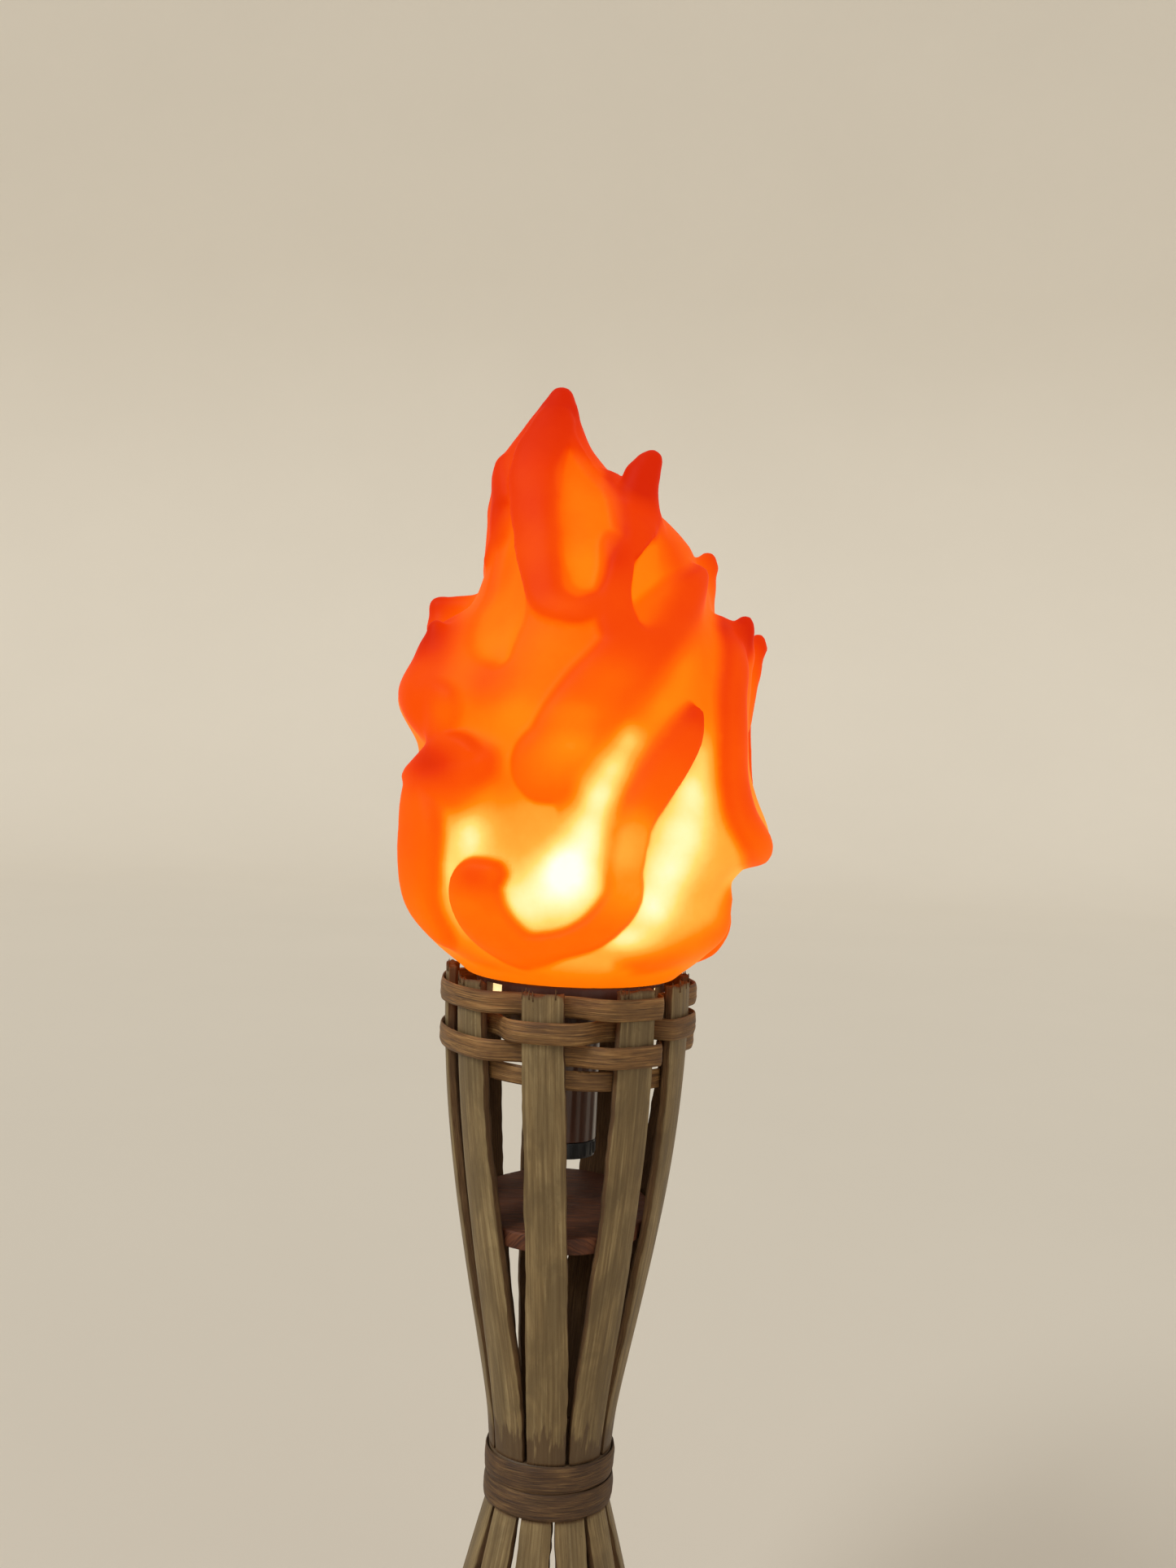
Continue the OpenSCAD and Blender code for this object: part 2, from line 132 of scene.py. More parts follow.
def make_piece(name, points, faces, body, material, replaces, **attributes):
    """A smooth-shaded piece in mm with per-point attributes, riding on a body in place of CAD nodes."""
    mesh = bpy.data.meshes.new(name)
    mesh.from_pydata((np.asarray(points) * MM).tolist(), [], [list(f) for f in faces])
    mesh.validate()
    for key, values in attributes.items():
        values = np.asarray(values, np.float32)
        kind = "FLOAT_VECTOR" if values.ndim == 2 else "FLOAT"
        layer = mesh.attributes.new(key, kind, "POINT")
        layer.data.foreach_set("vector" if values.ndim == 2 else "value", values.ravel())
    mesh.shade_smooth()
    mesh.materials.append(material)
    piece = add_object(name, mesh)
    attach(piece, body)
    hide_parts(*replaces)


class Parts:
    """Collects grids of points into one mesh."""

    def __init__(self):
        self.points, self.faces, self.extra, self.count = [], [], [], 0

    def add(self, points, faces, extra):
        self.points.append(np.asarray(points, float).reshape(-1, 3))
        self.faces.extend([tuple(i + self.count for i in f) for f in faces])
        self.extra.append(np.asarray(extra, float).reshape(-1, 4))
        self.count += len(self.points[-1])

    def piece(self, name, material, node):
        """All of it as one piece of the stand, in place of a CAD node."""
        extra = np.concatenate(self.extra)
        make_piece(name, np.concatenate(self.points), self.faces, "stand", material, [node],
                   grain=extra[:, :3], cut=extra[:, 3])


def tube_faces(rows, columns, looped=False):
    """Quads over a grid whose rows are closed rings."""
    last = rows if looped else rows - 1
    return [(j * columns + i, j * columns + (i + 1) % columns,
             (j + 1) % rows * columns + (i + 1) % columns, (j + 1) % rows * columns + i)
            for j in range(last) for i in range(columns)]


# ---- materials

def colour(r, g, b):
    """Linear colour from the 0 to 255 values of a screen colour."""
    return tuple(((c / 255 + 0.055) / 1.055) ** 2.4 if c > 10 else c / 255 / 12.92 for c in (r, g, b)) + (1,)


def shade_of(tone, share, more=0.0):
    """A darker or lighter form of a colour."""
    return tuple(min(1, c * share + more) for c in tone[:3]) + (1,)


class Finish:
    """One procedural material, built node by node."""

    def __init__(self, name, **sockets):
        self.material = bpy.data.materials.new(name)
        self.material.use_nodes = True
        self.tree = self.material.node_tree
        self.shader = self.tree.nodes["Principled BSDF"]
        self.set(**sockets)

    def set(self, **sockets):
        for key, value in sockets.items():
            self.feed(self.shader.inputs[key.replace("_", " ")], value)

    def feed(self, socket, value):
        if isinstance(value, bpy.types.NodeSocket):
            self.tree.links.new(value, socket)
        else:
            socket.default_value = value

    def node(self, kind, inputs, out=0, **settings):
        n = self.tree.nodes.new(kind)
        for key, value in settings.items():
            setattr(n, key, value)
        for key, value in inputs.items():
            self.feed(n.inputs[key], value)
        return n.outputs[out]

    def attribute(self, name, out="Fac"):
        return self.node("ShaderNodeAttribute", {}, out, attribute_name=name)

    def place(self, source, scale):
        return self.node("ShaderNodeMapping", {"Vector": source, "Scale": scale})

    def object_mm(self, scale=(1, 1, 1)):
        source = self.node("ShaderNodeTexCoord", {}, "Object")
        return self.place(source, tuple(s / MM for s in scale))

    def noise(self, vector, scale=1.0, detail=3.0, rough=0.55, twist=0.0):
        settings = {"Scale": scale, "Detail": detail, "Roughness": rough, "Distortion": twist}
        return self.node("ShaderNodeTexNoise", {"Vector": vector, **settings})

    def fibres(self, across, along, **settings):
        """Noise drawn out along the grain of a strip, strand or disc."""
        return self.noise(self.place(self.attribute("grain", "Vector"), (across, along, 1)), **settings)

    def lumps(self, across, along, **settings):
        """Noise through the whole object, per mm across and upwards."""
        return self.noise(self.object_mm((across, across, along)), **settings)

    def ramp(self, fac, *stops):
        n = self.tree.nodes.new("ShaderNodeValToRGB")
        self.feed(n.inputs[0], fac)
        band = n.color_ramp.elements
        while len(band) < len(stops):
            band.new(0.5)
        for element, (place, value) in zip(band, stops):
            element.position = place
            element.color = value if isinstance(value, tuple) else (value, value, value, 1)
        return n.outputs[0]

    def blend(self, fac, a, b):
        n = self.tree.nodes.new("ShaderNodeMix")
        n.data_type = "RGBA"
        for socket, value in zip((n.inputs[0], n.inputs[6], n.inputs[7]), (fac, a, b)):
            self.feed(socket, value)
        return n.outputs[2]

    def math(self, operation, a, b):
        return self.node("ShaderNodeMath", {0: a, 1: b}, operation=operation)

    def plus(self, a, b):
        return self.math("ADD", a, b)

    def times(self, a, b):
        return self.math("MULTIPLY", a, b)

    def bumped(self, height, distance_mm, strength):
        """The finished material, with this height as fine relief."""
        settings = {"Height": height, "Strength": strength, "Distance": distance_mm * MM}
        self.set(Normal=self.node("ShaderNodeBump", settings))
        return self.material


SHARE_MM = 400.0  # heights are divided by this, because a ramp reads only 0 to 1
RAGGED_MM = 44  # how unevenly the dark band round the waist ends
WAIST_DARK_BELOW = ((0.482, 1.0), (0.492, 0.0))
WAIST_DARK_ABOVE = ((0.410, 0.0), (0.425, 1.0))


def bamboo_finish():
    """Weathered bamboo: streaked skin with stains and pores, and a fibrous pale cut face."""
    f = Finish("bamboo", Specular_IOR_Level=0.35)
    cut = f.attribute("cut")
    streak = f.fibres(0.9, 0.02, detail=5, rough=0.65)
    fibre = f.fibres(5, 0.06, detail=3, rough=0.7)
    blotch = f.fibres(0.09, 0.035, detail=4, rough=0.6, twist=0.6)
    pore = f.fibres(2.2, 0.5, detail=2, rough=0.8)
    skin = f.ramp(streak, (0.28, colour(90, 70, 42)), (0.46, colour(124, 101, 64)),
                  (0.60, colour(148, 126, 86)), (0.78, colour(170, 150, 110)))
    stain = f.ramp(blotch, (0.36, 0.0), (0.62, 1.0))
    skin = f.blend(f.times(stain, 0.62), skin, colour(92, 74, 46))
    skin = f.blend(f.ramp(f.plus(pore, f.times(fibre, 0.4)), (0.42, 0.55), (0.56, 0.0)),
                   skin, colour(60, 44, 26))
    height = f.node("ShaderNodeSeparateXYZ", {0: f.attribute("grain", "Vector")}, "Y")
    uneven = f.times(f.fibres(0.35, 0.05, detail=4), RAGGED_MM)
    share = f.math("DIVIDE", f.plus(height, uneven), SHARE_MM)
    dark_waist = f.times(f.ramp(share, *WAIST_DARK_BELOW), f.ramp(share, *WAIST_DARK_ABOVE))
    skin = f.blend(f.times(dark_waist, 0.8), skin, colour(78, 56, 34))
    pith = f.ramp(fibre, (0.3, colour(74, 50, 30)), (0.52, colour(118, 86, 52)), (0.75, colour(156, 122, 80)))
    pith = f.blend(f.times(stain, 0.5), pith, colour(74, 50, 31))
    f.set(Base_Color=f.blend(cut, skin, pith))
    f.set(Roughness=f.plus(f.times(cut, 0.3), f.ramp(streak, (0.3, 0.42), (0.7, 0.6))))
    relief = f.plus(f.times(fibre, f.plus(f.times(cut, 1.4), 0.35)), f.times(pore, 0.3))
    return f.bumped(relief, 0.35, 0.7)


def fibre_finish(name, dark, middle, light, across, along, rough, depth=0.25):
    """Split cane, rattan or sawn wood: long fibres of three tones, with dirt in blotches."""
    f = Finish(name, Specular_IOR_Level=0.35)
    fibre = f.fibres(across, along, detail=4, rough=0.7)
    line = f.fibres(across * 3, along * 1.5, detail=2, rough=0.6)
    dirt = f.fibres(0.12, 0.05, detail=4, rough=0.6, twist=0.4)
    tone = f.ramp(fibre, (0.3, dark), (0.5, middle), (0.72, light))
    tone = f.blend(f.ramp(line, (0.36, 0.7), (0.5, 0.0)), tone, shade_of(dark, 0.35))
    tone = f.blend(f.ramp(dirt, (0.4, 0.0), (0.68, 0.65)), tone, dark)
    f.set(Base_Color=tone, Roughness=f.ramp(fibre, (0.3, rough - 0.08), (0.7, rough + 0.12)))
    return f.bumped(f.plus(fibre, line), depth, 0.8)


def plastic_finish(name, tone, rough, texture=0.04, speck=0.12, **sockets):
    """Moulded plastic or rubber with a fine grain, handling marks and faint dust."""
    f = Finish(name, **sockets)
    dust = f.lumps(0.12, 0.05, detail=5, rough=0.7)
    grain = f.lumps(3, 3, detail=2)
    dusty = shade_of(tone, 1.5, speck * 0.08)
    f.set(Base_Color=f.blend(f.ramp(dust, (0.45, 0.0), (0.75, 0.8)), tone, dusty),
          Roughness=f.plus(f.times(dust, speck), rough - speck / 2))
    return f.bumped(grain, texture, 0.6)


def metal_finish(name, tone, rough):
    """Bare metal with fine scratches."""
    f = Finish(name, Metallic=1.0)
    scratch = f.lumps(2, 0.4, detail=4, rough=0.7)
    f.set(Base_Color=f.ramp(scratch, (0.35, shade_of(tone, 0.7)), (0.65, tone)),
          Roughness=f.ramp(scratch, (0.3, rough - 0.08), (0.7, rough + 0.12)))
    return f.bumped(scratch, 0.03, 0.5)


def board_finish():
    """Solder mask with copper pads showing as paler islands."""
    f = Finish("circuit_board", Roughness=0.35)
    place = f.object_mm((0.45, 0.45, 0.2))
    pads = f.ramp(f.node("ShaderNodeTexVoronoi", {"Vector": place, "Scale": 1.0}, "Distance"),
                  (0.22, 1.0), (0.25, 0.0))
    f.set(Base_Color=f.blend(pads, colour(24, 84, 44), colour(196, 170, 96)))
    return f.bumped(pads, 0.05, 0.5)


def cell_finish():
    """Battery: printed jacket with bare metal at both ends."""
    low, high = (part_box("cell_1")[k].z / MM for k in (0, 1))
    f = Finish("cell_jacket", Roughness=0.35)
    z = f.node("ShaderNodeSeparateXYZ", {0: f.object_mm()}, "Z")
    share = f.math("DIVIDE", f.math("SUBTRACT", z, low), high - low)
    metal = f.ramp(share, (0.02, 1.0), (0.03, 0.0), (0.95, 0.0), (0.96, 1.0))
    cuff = f.ramp(share, (0.70, 0.0), (0.71, 1.0))
    jacket = f.blend(cuff, colour(28, 30, 34), colour(190, 116, 44))
    wear = f.lumps(0.6, 0.3, detail=4)
    f.set(Base_Color=f.blend(metal, jacket, colour(190, 190, 186)), Metallic=metal,
          Roughness=f.ramp(wear, (0.3, 0.28), (0.7, 0.45)))
    return f.material


def glow_finish(name, tone, glow, strength, rough=0.5):
    """Frosted plastic or phosphor that the light source shines through."""
    f = Finish(name, Roughness=rough, Emission_Strength=strength)
    frost = f.lumps(0.5, 0.5, detail=4)
    f.set(Base_Color=f.ramp(frost, (0.3, shade_of(tone, 0.85)), (0.7, tone)),
          Emission_Color=f.ramp(frost, (0.2, shade_of(glow, 0.9)), (0.8, glow)))
    return f.bumped(frost, 0.05, 0.5)


def flame_finish():
    """Soft vinyl lit from inside: the colour follows how much light reaches each point of the wall."""
    f = Finish("flame_vinyl", Roughness=0.55, Emission_Strength=1.0, Specular_IOR_Level=0.06)
    mottle = f.lumps(0.16, 0.16, detail=3)
    heat = f.plus(f.attribute("lit"), f.times(f.math("SUBTRACT", mottle, 0.5), 0.04))
    glow = f.ramp(heat, (0.0, colour(214, 36, 0)), (0.15, colour(236, 56, 0)), (0.30, colour(250, 80, 0)),
                  (0.45, colour(255, 104, 0)), (0.60, colour(255, 135, 8)), (0.72, colour(255, 176, 60)),
                  (0.82, colour(255, 222, 112)), (0.90, colour(252, 250, 180)),
                  (1.0, colour(255, 255, 245)))
    unlit = f.ramp(heat, (0.0, colour(40, 5, 0)), (0.6, colour(40, 12, 0)), (1.0, colour(60, 50, 30)))
    f.set(Emission_Color=glow, Base_Color=unlit)
    return f.bumped(f.lumps(1.4, 1.4, detail=2), 0.04, 0.4)


BAMBOO = bamboo_finish()
CANE = fibre_finish("cane", colour(84, 56, 30), colour(140, 100, 54), colour(182, 142, 88),
                    1.6, 0.05, 0.55)
RATTAN = fibre_finish("rattan", colour(58, 38, 24), colour(98, 70, 42), colour(140, 108, 68),
                      1.1, 0.05, 0.6, 0.35)
DISC_WOOD = fibre_finish("spreader_wood", colour(70, 36, 22), colour(104, 58, 34), colour(138, 84, 50),
                         0.8, 0.06, 0.62)
FLAME = flame_finish()


# ---- bamboo

def strip_levels(name):
    """A CAD strip's six corners at each height: outer face left to right, inner face right to left."""
    points = node_points(name)
    levels = []
    for z in np.unique(points[:, 2]):
        ring = points[points[:, 2] == z]
        turn = math.atan2(ring[:, 0].mean(), -ring[:, 1].mean())
        side = ring[:, 0] * math.cos(turn) + ring[:, 1] * math.sin(turn)
        order = np.argsort(-np.hypot(ring[:, 0], ring[:, 1]))
        outer, inner = order[:3], order[3:]
        ordered = np.concatenate([outer[np.argsort(side[outer])], inner[np.argsort(-side[inner])]])
        levels.append(ring[ordered])
    return np.array(levels)


def across(a, b, c, s):
    """The curve through three points at s of -1, 0 and 1, for a column of points at each level."""
    return a * (s * (s - 1) / 2) + b * (1 - s * s) + c * (s * (s + 1) / 2)


HALF_STEPS = [0.2, 0.4, 0.6, 0.8, 0.93, 0.985, 1]
SKIN_STEPS = np.array([-step for step in HALF_STEPS[::-1]] + [0] + HALF_STEPS)
DEPTH_STEPS = np.array([0, 0.08, 0.35, 0.7, 1])
ROW_MM = 1.4
SPLIT_INSET = 0.45  # how far the split edges stand inside the clean CAD strip, on average


def strip(parts, name, seed, rough_top, rough_bottom):
    """One split bamboo strip with wavering torn edges, a fibrous inner face and a ragged end."""
    levels = strip_levels(name)
    length = np.ptp(levels[:, 0, 2])
    rows = int(length / ROW_MM) + 1
    dense = spline(levels, rows)
    corners = [dense[:, k][:, None, None] for k in range(6)]
    z = dense[:, 0, 2][:, None, None]
    s = np.broadcast_to(SKIN_STEPS[None, :, None], (rows, len(SKIN_STEPS), len(DEPTH_STEPS)))
    d = np.broadcast_to(DEPTH_STEPS[None, None, :], s.shape)
    half = np.linalg.norm(dense[:, 2] - dense[:, 0], axis=1)[:, None, None] / 2
    inset = [SPLIT_INSET + 0.4 * noise(z / 17, side, seed) + 0.18 * noise(z / 4, side, seed + 9)
             + 0.16 * noise(z / 5, d * 3, seed + side) + 0.35 * d * (1 - 0.5 * d) for side in (1, 5)]
    s = s * (1 - np.where(s < 0, inset[0], inset[1]) * np.abs(s) ** 6 / half)
    outer = across(corners[0], corners[1], corners[2], s[..., None])
    inner = across(corners[5], corners[4], corners[3], s[..., None])
    points = mix(outer, inner, d[..., None])
    inward = inner - outer
    inward /= np.linalg.norm(inward, axis=-1, keepdims=True)
    sink = (0.10 + 0.10 * noise(s * 2.5, z / 45, seed) + 0.05 * noise(s * 7, z / 20, seed + 3)
            + 0.45 * np.abs(s) ** 14) * (1 - d)
    lift = (0.30 + 0.22 * noise(s * 5, z / 16, seed + 5) + 0.12 * noise(s * 9, z / 5, seed + 6)) * d
    points = points + inward * (sink - lift)[..., None]
    for rough, end, sign in ((rough_top, z.max(), 1), (rough_bottom, z.min(), -1)):
        near = ease(1 - np.abs(z - end) / 6)
        jag = 0.55 + 0.45 * noise(s * 6, d * 2, seed + sign) + 0.4 * noise(s * 2, d, seed + 20 + sign)
        points[..., 2] -= sign * rough * np.clip(jag, 0, 2) * near
    index = np.arange(s.size).reshape(s.shape)
    loops = np.concatenate([index[:, :, 0], index[:, -1, 1:-1], index[:, ::-1, -1], index[:, 0, -2:0:-1]],
                           axis=1)
    faces = [loops.ravel()[np.array(tube_faces(*loops.shape))]]
    for end, order in ((index[0], -1), (index[-1], 1)):
        quads = columns_of(end[:-1, :-1], end[1:, :-1], end[1:, 1:], end[:-1, 1:])
        faces.append(quads.reshape(-1, 4)[:, ::order])
    used, renumbered = np.unique(np.concatenate(faces), return_inverse=True)
    is_cut = np.clip(ease((d - 0.02) / 0.1) + ease((np.abs(s) - 0.97) / 0.02) * 0.6, 0, 1)
    is_cut[[0, -1]] = 1
    extra = columns_of(s * half + d * 3.6, points[..., 2], seed * 7.3, is_cut)
    parts.add(points.reshape(-1, 3)[used], renumbered.reshape(-1, 4).tolist(), extra.reshape(-1, 4)[used])
    return points


def splinters(parts, strip_points, seed, count):
    """Thin torn fibres that stand on the rough top of a strip."""
    for k in range(count):
        place = int((lattice(k, seed, 1, 3) * 0.5 + 0.5) * 12) + 1
        deep = k % 3
        root = strip_points[-1, place, deep]
        up = root - strip_points[-4, place, deep]
        up /= np.linalg.norm(up)
        side = strip_points[-1, place + 1, deep] - root
        side /= np.linalg.norm(side)
        thick = np.cross(up, side)
        size = 0.28 + 0.12 * lattice(k, seed, 2, 5)
        tall = 1.5 + 0.9 * lattice(k, seed, 3, 7)
        lean = side * 0.5 * lattice(k, seed, 4, 9)
        square = [side * a * size + thick * b * size for a, b in ((-1, -1), (1, -1), (1, 1), (-1, 1))]
        base = [root - up * 2 + corner for corner in square]
        middle = [root + up * tall * 0.5 + lean + corner * 0.6 for corner in square]
        tip = root + up * tall + lean * 2
        points = np.array(base + middle + [tip])
        faces = tube_faces(2, 4) + [(4, 5, 8), (5, 6, 8), (6, 7, 8), (7, 4, 8), (3, 2, 1, 0)]
        extra = np.concatenate([points[:, [0, 2, 1]], np.ones((9, 1))], 1)
        parts.add(points, faces, extra)


def bamboo_strips():
    for group, first_seed, rough_top, rough_bottom in (("basket_strip_", 0, 1.6, 0.0),
                                                       ("foot_strip_", 40, 0.0, 0.35)):
        for k in range(sum(n.startswith(group) for n in frame["nodes"])):
            name = group + str(k + 1)
            parts = Parts()
            points = strip(parts, name, first_seed + k, rough_top, rough_bottom)
            if rough_top:
                splinters(parts, points, k, 7)
            parts.piece("bamboo_" + name, BAMBOO, name)


def lathe(parts, profile, columns, seed, wobble, cut_from=math.inf):
    """Rings over a closed profile of (radius, height), each point pushed a little along the radius."""
    r, z = np.array(profile, float).T[:, :, None]
    turn = np.arange(columns)[None] * 360 / columns
    a = np.radians(turn)
    push = wobble * noise(np.cos(a) * r * 0.25, np.sin(a) * r * 0.25, z * 0.25 + seed)
    cut = np.arange(len(profile))[:, None] >= cut_from
    parts.add(spot(r + push * (r > 0.5), turn, z), tube_faces(len(profile), columns, True),
              columns_of(a * r, z, seed * 3.1, cut))


def arc(centre, radius, start, stop, steps):
    """Points of a profile's rounded corner."""
    a = np.radians(np.linspace(start, stop, steps))
    return [(centre[0] + radius * math.cos(t), centre[1] + radius * math.sin(t)) for t in a]


POLE_WALL = 3.45
JOINT_WALL = 4.0  # thickness of the bamboo's own wall across the waist
FILLET = 2


def waist_ring():
    """The uncut ring of pole with its rough inner face and the joint wall across it."""
    points = node_points("waist_ring")
    low, high = points[:, 2].min(), points[:, 2].max()
    outer = np.hypot(points[:, 0], points[:, 1]).max()
    bore = outer - POLE_WALL
    top, bottom = ((low + high + thick) / 2 for thick in (JOINT_WALL, -JOINT_WALL))
    reach = (14, 9, 4, 0.05)
    skin = [(outer, z) for z in np.linspace(low, high, 9)]
    upper = [(bore, z) for z in np.linspace(high, top + FILLET, 4)]
    lower = [(bore, z) for z in np.linspace(bottom - FILLET, low, 4)]
    wall_top = arc((bore - FILLET, top + FILLET), FILLET, 0, -90, 4) + [(x, top) for x in reach]
    wall_low = [(x, bottom) for x in reach[::-1]] + arc((bore - FILLET, bottom - FILLET), FILLET, 90, 0, 4)
    parts = Parts()
    lathe(parts, skin + upper + wall_top + wall_low + lower, 96, 3, 0.25, cut_from=len(skin))
    parts.piece("bamboo_waist", BAMBOO, "waist_ring")


# ---- cane and discs

def strand_section(height, thick):
    """Flat cane: a rounded outer face, square-ish edges and a flat inner face."""
    across_steps = np.linspace(-1, 1, 11)
    outer = [(thick * (0.5 - 0.32 * abs(s) ** 3), s * height / 2) for s in across_steps]
    inner = [(-thick * (0.5 - 0.22 * abs(s) ** 6), s * height / 2 * 0.96) for s in across_steps[::-1]]
    return np.array(outer + inner)


def strand(parts, route, height, thick, seed, closed=False, ragged=0.0):
    """A flat strand of cane along rows of (radius, turn, height, tilt)."""
    section = strand_section(height, thick)
    rows, cols = len(route), len(section)
    r, turn, z, tilt = (route[:, k][:, None] for k in range(4))
    steps = np.abs(np.diff(route[:, 1])) * math.pi / 180 * route[1:, 0]
    along = np.concatenate([[0], np.cumsum(steps)])[:, None]
    u, w = section[:, 0][None], section[:, 1][None]
    lump = 0.12 * noise(along / 9, w / 3, seed) + 0.09 * noise(along / 30, w * 1.1, seed + 2)
    crack = -0.16 * ease(1 - np.abs(noise(w * 0.55 + seed, along / 60, seed)) * 9)
    u = u + (lump + crack) * np.sign(u) - 0.1 * np.sign(u)
    w = w * (0.965 + 0.03 * noise(along / 22, np.sign(w), seed + 4))
    if ragged:
        frayed = noise(w * 0.9, seed, 5) * ragged
        for end, near in ((0, along), (-1, along[-1, 0] - along)):
            turn = turn + np.where(near < 6, (1 if end == 0 else -1) * (frayed + ragged) * (1 - near / 6), 0)
            u = u * (1 - 0.35 * (near < 1.5))
    a = np.radians(tilt)
    points = spot(r + u * np.cos(a) - w * np.sin(a), turn, z + w * np.cos(a) + u * np.sin(a))
    faces = [f[::-1] for f in tube_faces(rows, cols, closed)]
    if not closed:
        half = cols // 2
        for end in (0, (rows - 1) * cols):
            for i in range(half - 1):
                quad = (end + i, end + i + 1, end + cols - 2 - i, end + cols - 1 - i)
                faces.append(quad if end == 0 else quad[::-1])
    parts.add(points, faces, columns_of(w + 20 * (u < 0), along, seed * 5.1, 0.0))


def ring_route(name):
    """Centre line of a CAD strand, as radius and turn; then its mid height and how tall it is."""
    points = node_points(name)
    turn = np.degrees(np.arctan2(points[:, 0], -points[:, 1]))
    order = np.argsort(turn)
    turn, r = turn[order], np.hypot(points[order, 0], points[order, 1])
    starts = np.concatenate([[0], np.nonzero(np.diff(turn) > 0.2)[0] + 1, [len(turn)]])
    rows = [(r[a:b].mean(), turn[a:b].mean()) for a, b in zip(starts[:-1], starts[1:])]
    return np.array(rows), (points[:, 2].min() + points[:, 2].max()) / 2, np.ptp(points[:, 2])


STRANDS = ("foot_weaver_1", "foot_weaver_2", "rim_weaver_1", "rim_weaver_2", "rim_weaver_3")
# Where a strand's tail begins, how many degrees it runs on inside the weave, and how far it drops.
# The top strand has none, because the lamp's plate lies close inside it.
TAILS = {"rim_weaver_2": (-150, 50, 0.0), "rim_weaver_3": (-96, 172, 11.5),
         "foot_weaver_1": (120, 40, 0.0), "foot_weaver_2": (-170, 40, 0.0)}
STRAND_T = 1.8


def loose_tail(parts, ring, z, height, seed, start, run, drop):
    """The end of a strand, tucked inside its own weave."""
    steps = np.linspace(0, 1, int(run / 0.8))
    tail_turn = start + steps * run
    inside = np.interp(tail_turn, ring[:, 1], ring[:, 0], period=360)
    tuck = mix(inside - STRAND_T, ring[:, 0].min() - 0.4, ease(steps * 5 if drop else steps * 2))
    clear = STRAND_T * (1 - ease(steps * 4)) if drop else STRAND_T
    tuck = np.minimum(tuck, inside - clear)
    tail_z = z - drop * (0.62 * ease(steps * 3.4) + 0.38 * steps)
    tail = np.stack([tuck, tail_turn, tail_z, 5 * np.sin(steps * 5 + seed)], -1)
    strand(parts, tail, height * 0.9, STRAND_T * 0.8, seed + 30, ragged=1.2)


def weaver(name, seed):
    """One strand of cane woven through the strips."""
    ring, z, height = ring_route(name)
    turns = np.arange(0, 360, 0.75)
    r = np.interp(turns - 180, ring[:, 1], ring[:, 0], period=360)
    r = np.convolve(np.concatenate([r[-2:], r, r[:2]]), np.array([1, 4, 6, 4, 1]) / 16, "valid")
    bob = 0.35 * noise(turns / 32, seed * 3.7) * np.sin(np.radians(turns / 2)) ** 0.5
    route = np.stack([r, turns - 180, z + bob, 2.0 * noise(turns / 25, seed * 1.3)], -1)
    parts = Parts()
    strand(parts, route, height, STRAND_T, seed, closed=True)
    if name in TAILS:
        loose_tail(parts, ring, z, height, seed, *TAILS[name])
    parts.piece("cane_" + name, CANE, name)


BIND_TURNS = 2
BIND_TAIL = 0.12  # share of a turn by which the binding overlaps itself


def waist_binding():
    """Split rattan wound twice round the waist: two bulging wraps with a crossing at the back."""
    low, high = (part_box("waist_binding")[k].z / MM for k in (0, 1))
    pitch = (high - low) / BIND_TURNS
    r = node_points("waist_ring")[:, 0].max() + 0.9
    parts = Parts()
    for k in range(BIND_TURNS):
        turns = np.arange(0, 360 * (1 + BIND_TAIL), 2.0)
        share = turns / 360
        rise = pitch * ease((turns - 300) / 60) * (0.9 if k == 0 else 0.0)
        middle = low + pitch * (k + 0.5) + rise * 0.4 + 0.5 * noise(turns / 70, k * 4.0)
        lap = 0.9 * ease((share - 1) / 0.05) + 0.12 * noise(turns / 40, k + 8.0)
        route = np.stack([r + lap, turns + 160, middle, 3 * noise(turns / 50, k)], -1)
        strand(parts, route, pitch * 1.02, 1.5, 60 + k, ragged=2.0)
    parts.piece("rattan_binding", RATTAN, "waist_binding")


DISC_THICK = 7.0
DISC_EDGE = 0.9  # radius of the disc's eased edges


def disc(name, seed):
    """A sawn wooden disc with eased edges, saw waves on its faces and a slightly uneven outline."""
    points = node_points(name)
    low, high = points.min(axis=0), points.max(axis=0)
    span, r = high - low, high[0]
    level = np.sum(points[:, 2] > high[2] - 0.05) > 10
    tilt = 0.0 if level else math.asin(min(1, (span[2] - DISC_THICK) / span[1]))
    edge, h = DISC_EDGE, DISC_THICK / 2
    flat = [r - edge, r * 0.92, r * 0.8, r * 0.62, r * 0.42, r * 0.2, 0.05]
    profile = ([(r, z) for z in (-h + edge, 0, h - edge)] + arc((r - edge, h - edge), edge, 20, 90, 4)
               + [(x, h) for x in flat[1:]] + [(x, -h) for x in flat[:0:-1]]
               + arc((r - edge, -h + edge), edge, -90, -20, 4))
    parts = Parts()
    lathe(parts, profile, 144, seed, 0.28)
    p = parts.points[0]
    p[:, 0] -= np.sign(p[:, 0]) * 0.3 * (np.hypot(p[:, 0], p[:, 1]) > r - 1) * (noise(p[:, 1] / 9, seed) + 1)
    p[:, 2] += 0.10 * np.sin(p[:, 1] * 1.1 + 0.04 * p[:, 0]) * (np.abs(p[:, 2]) > h - 0.05)
    parts.extra[0][:, :3] = np.stack([p[:, 1] + p[:, 2] * 0.35, p[:, 0], p[:, 2] * 0 + seed], -1)
    turned = np.array(Matrix.Rotation(tilt, 3, "X"))
    parts.points[0] = p @ turned.T + (low + high) / 2 * (0, 1, 1)
    parts.piece("wood_" + name, DISC_WOOD, name)


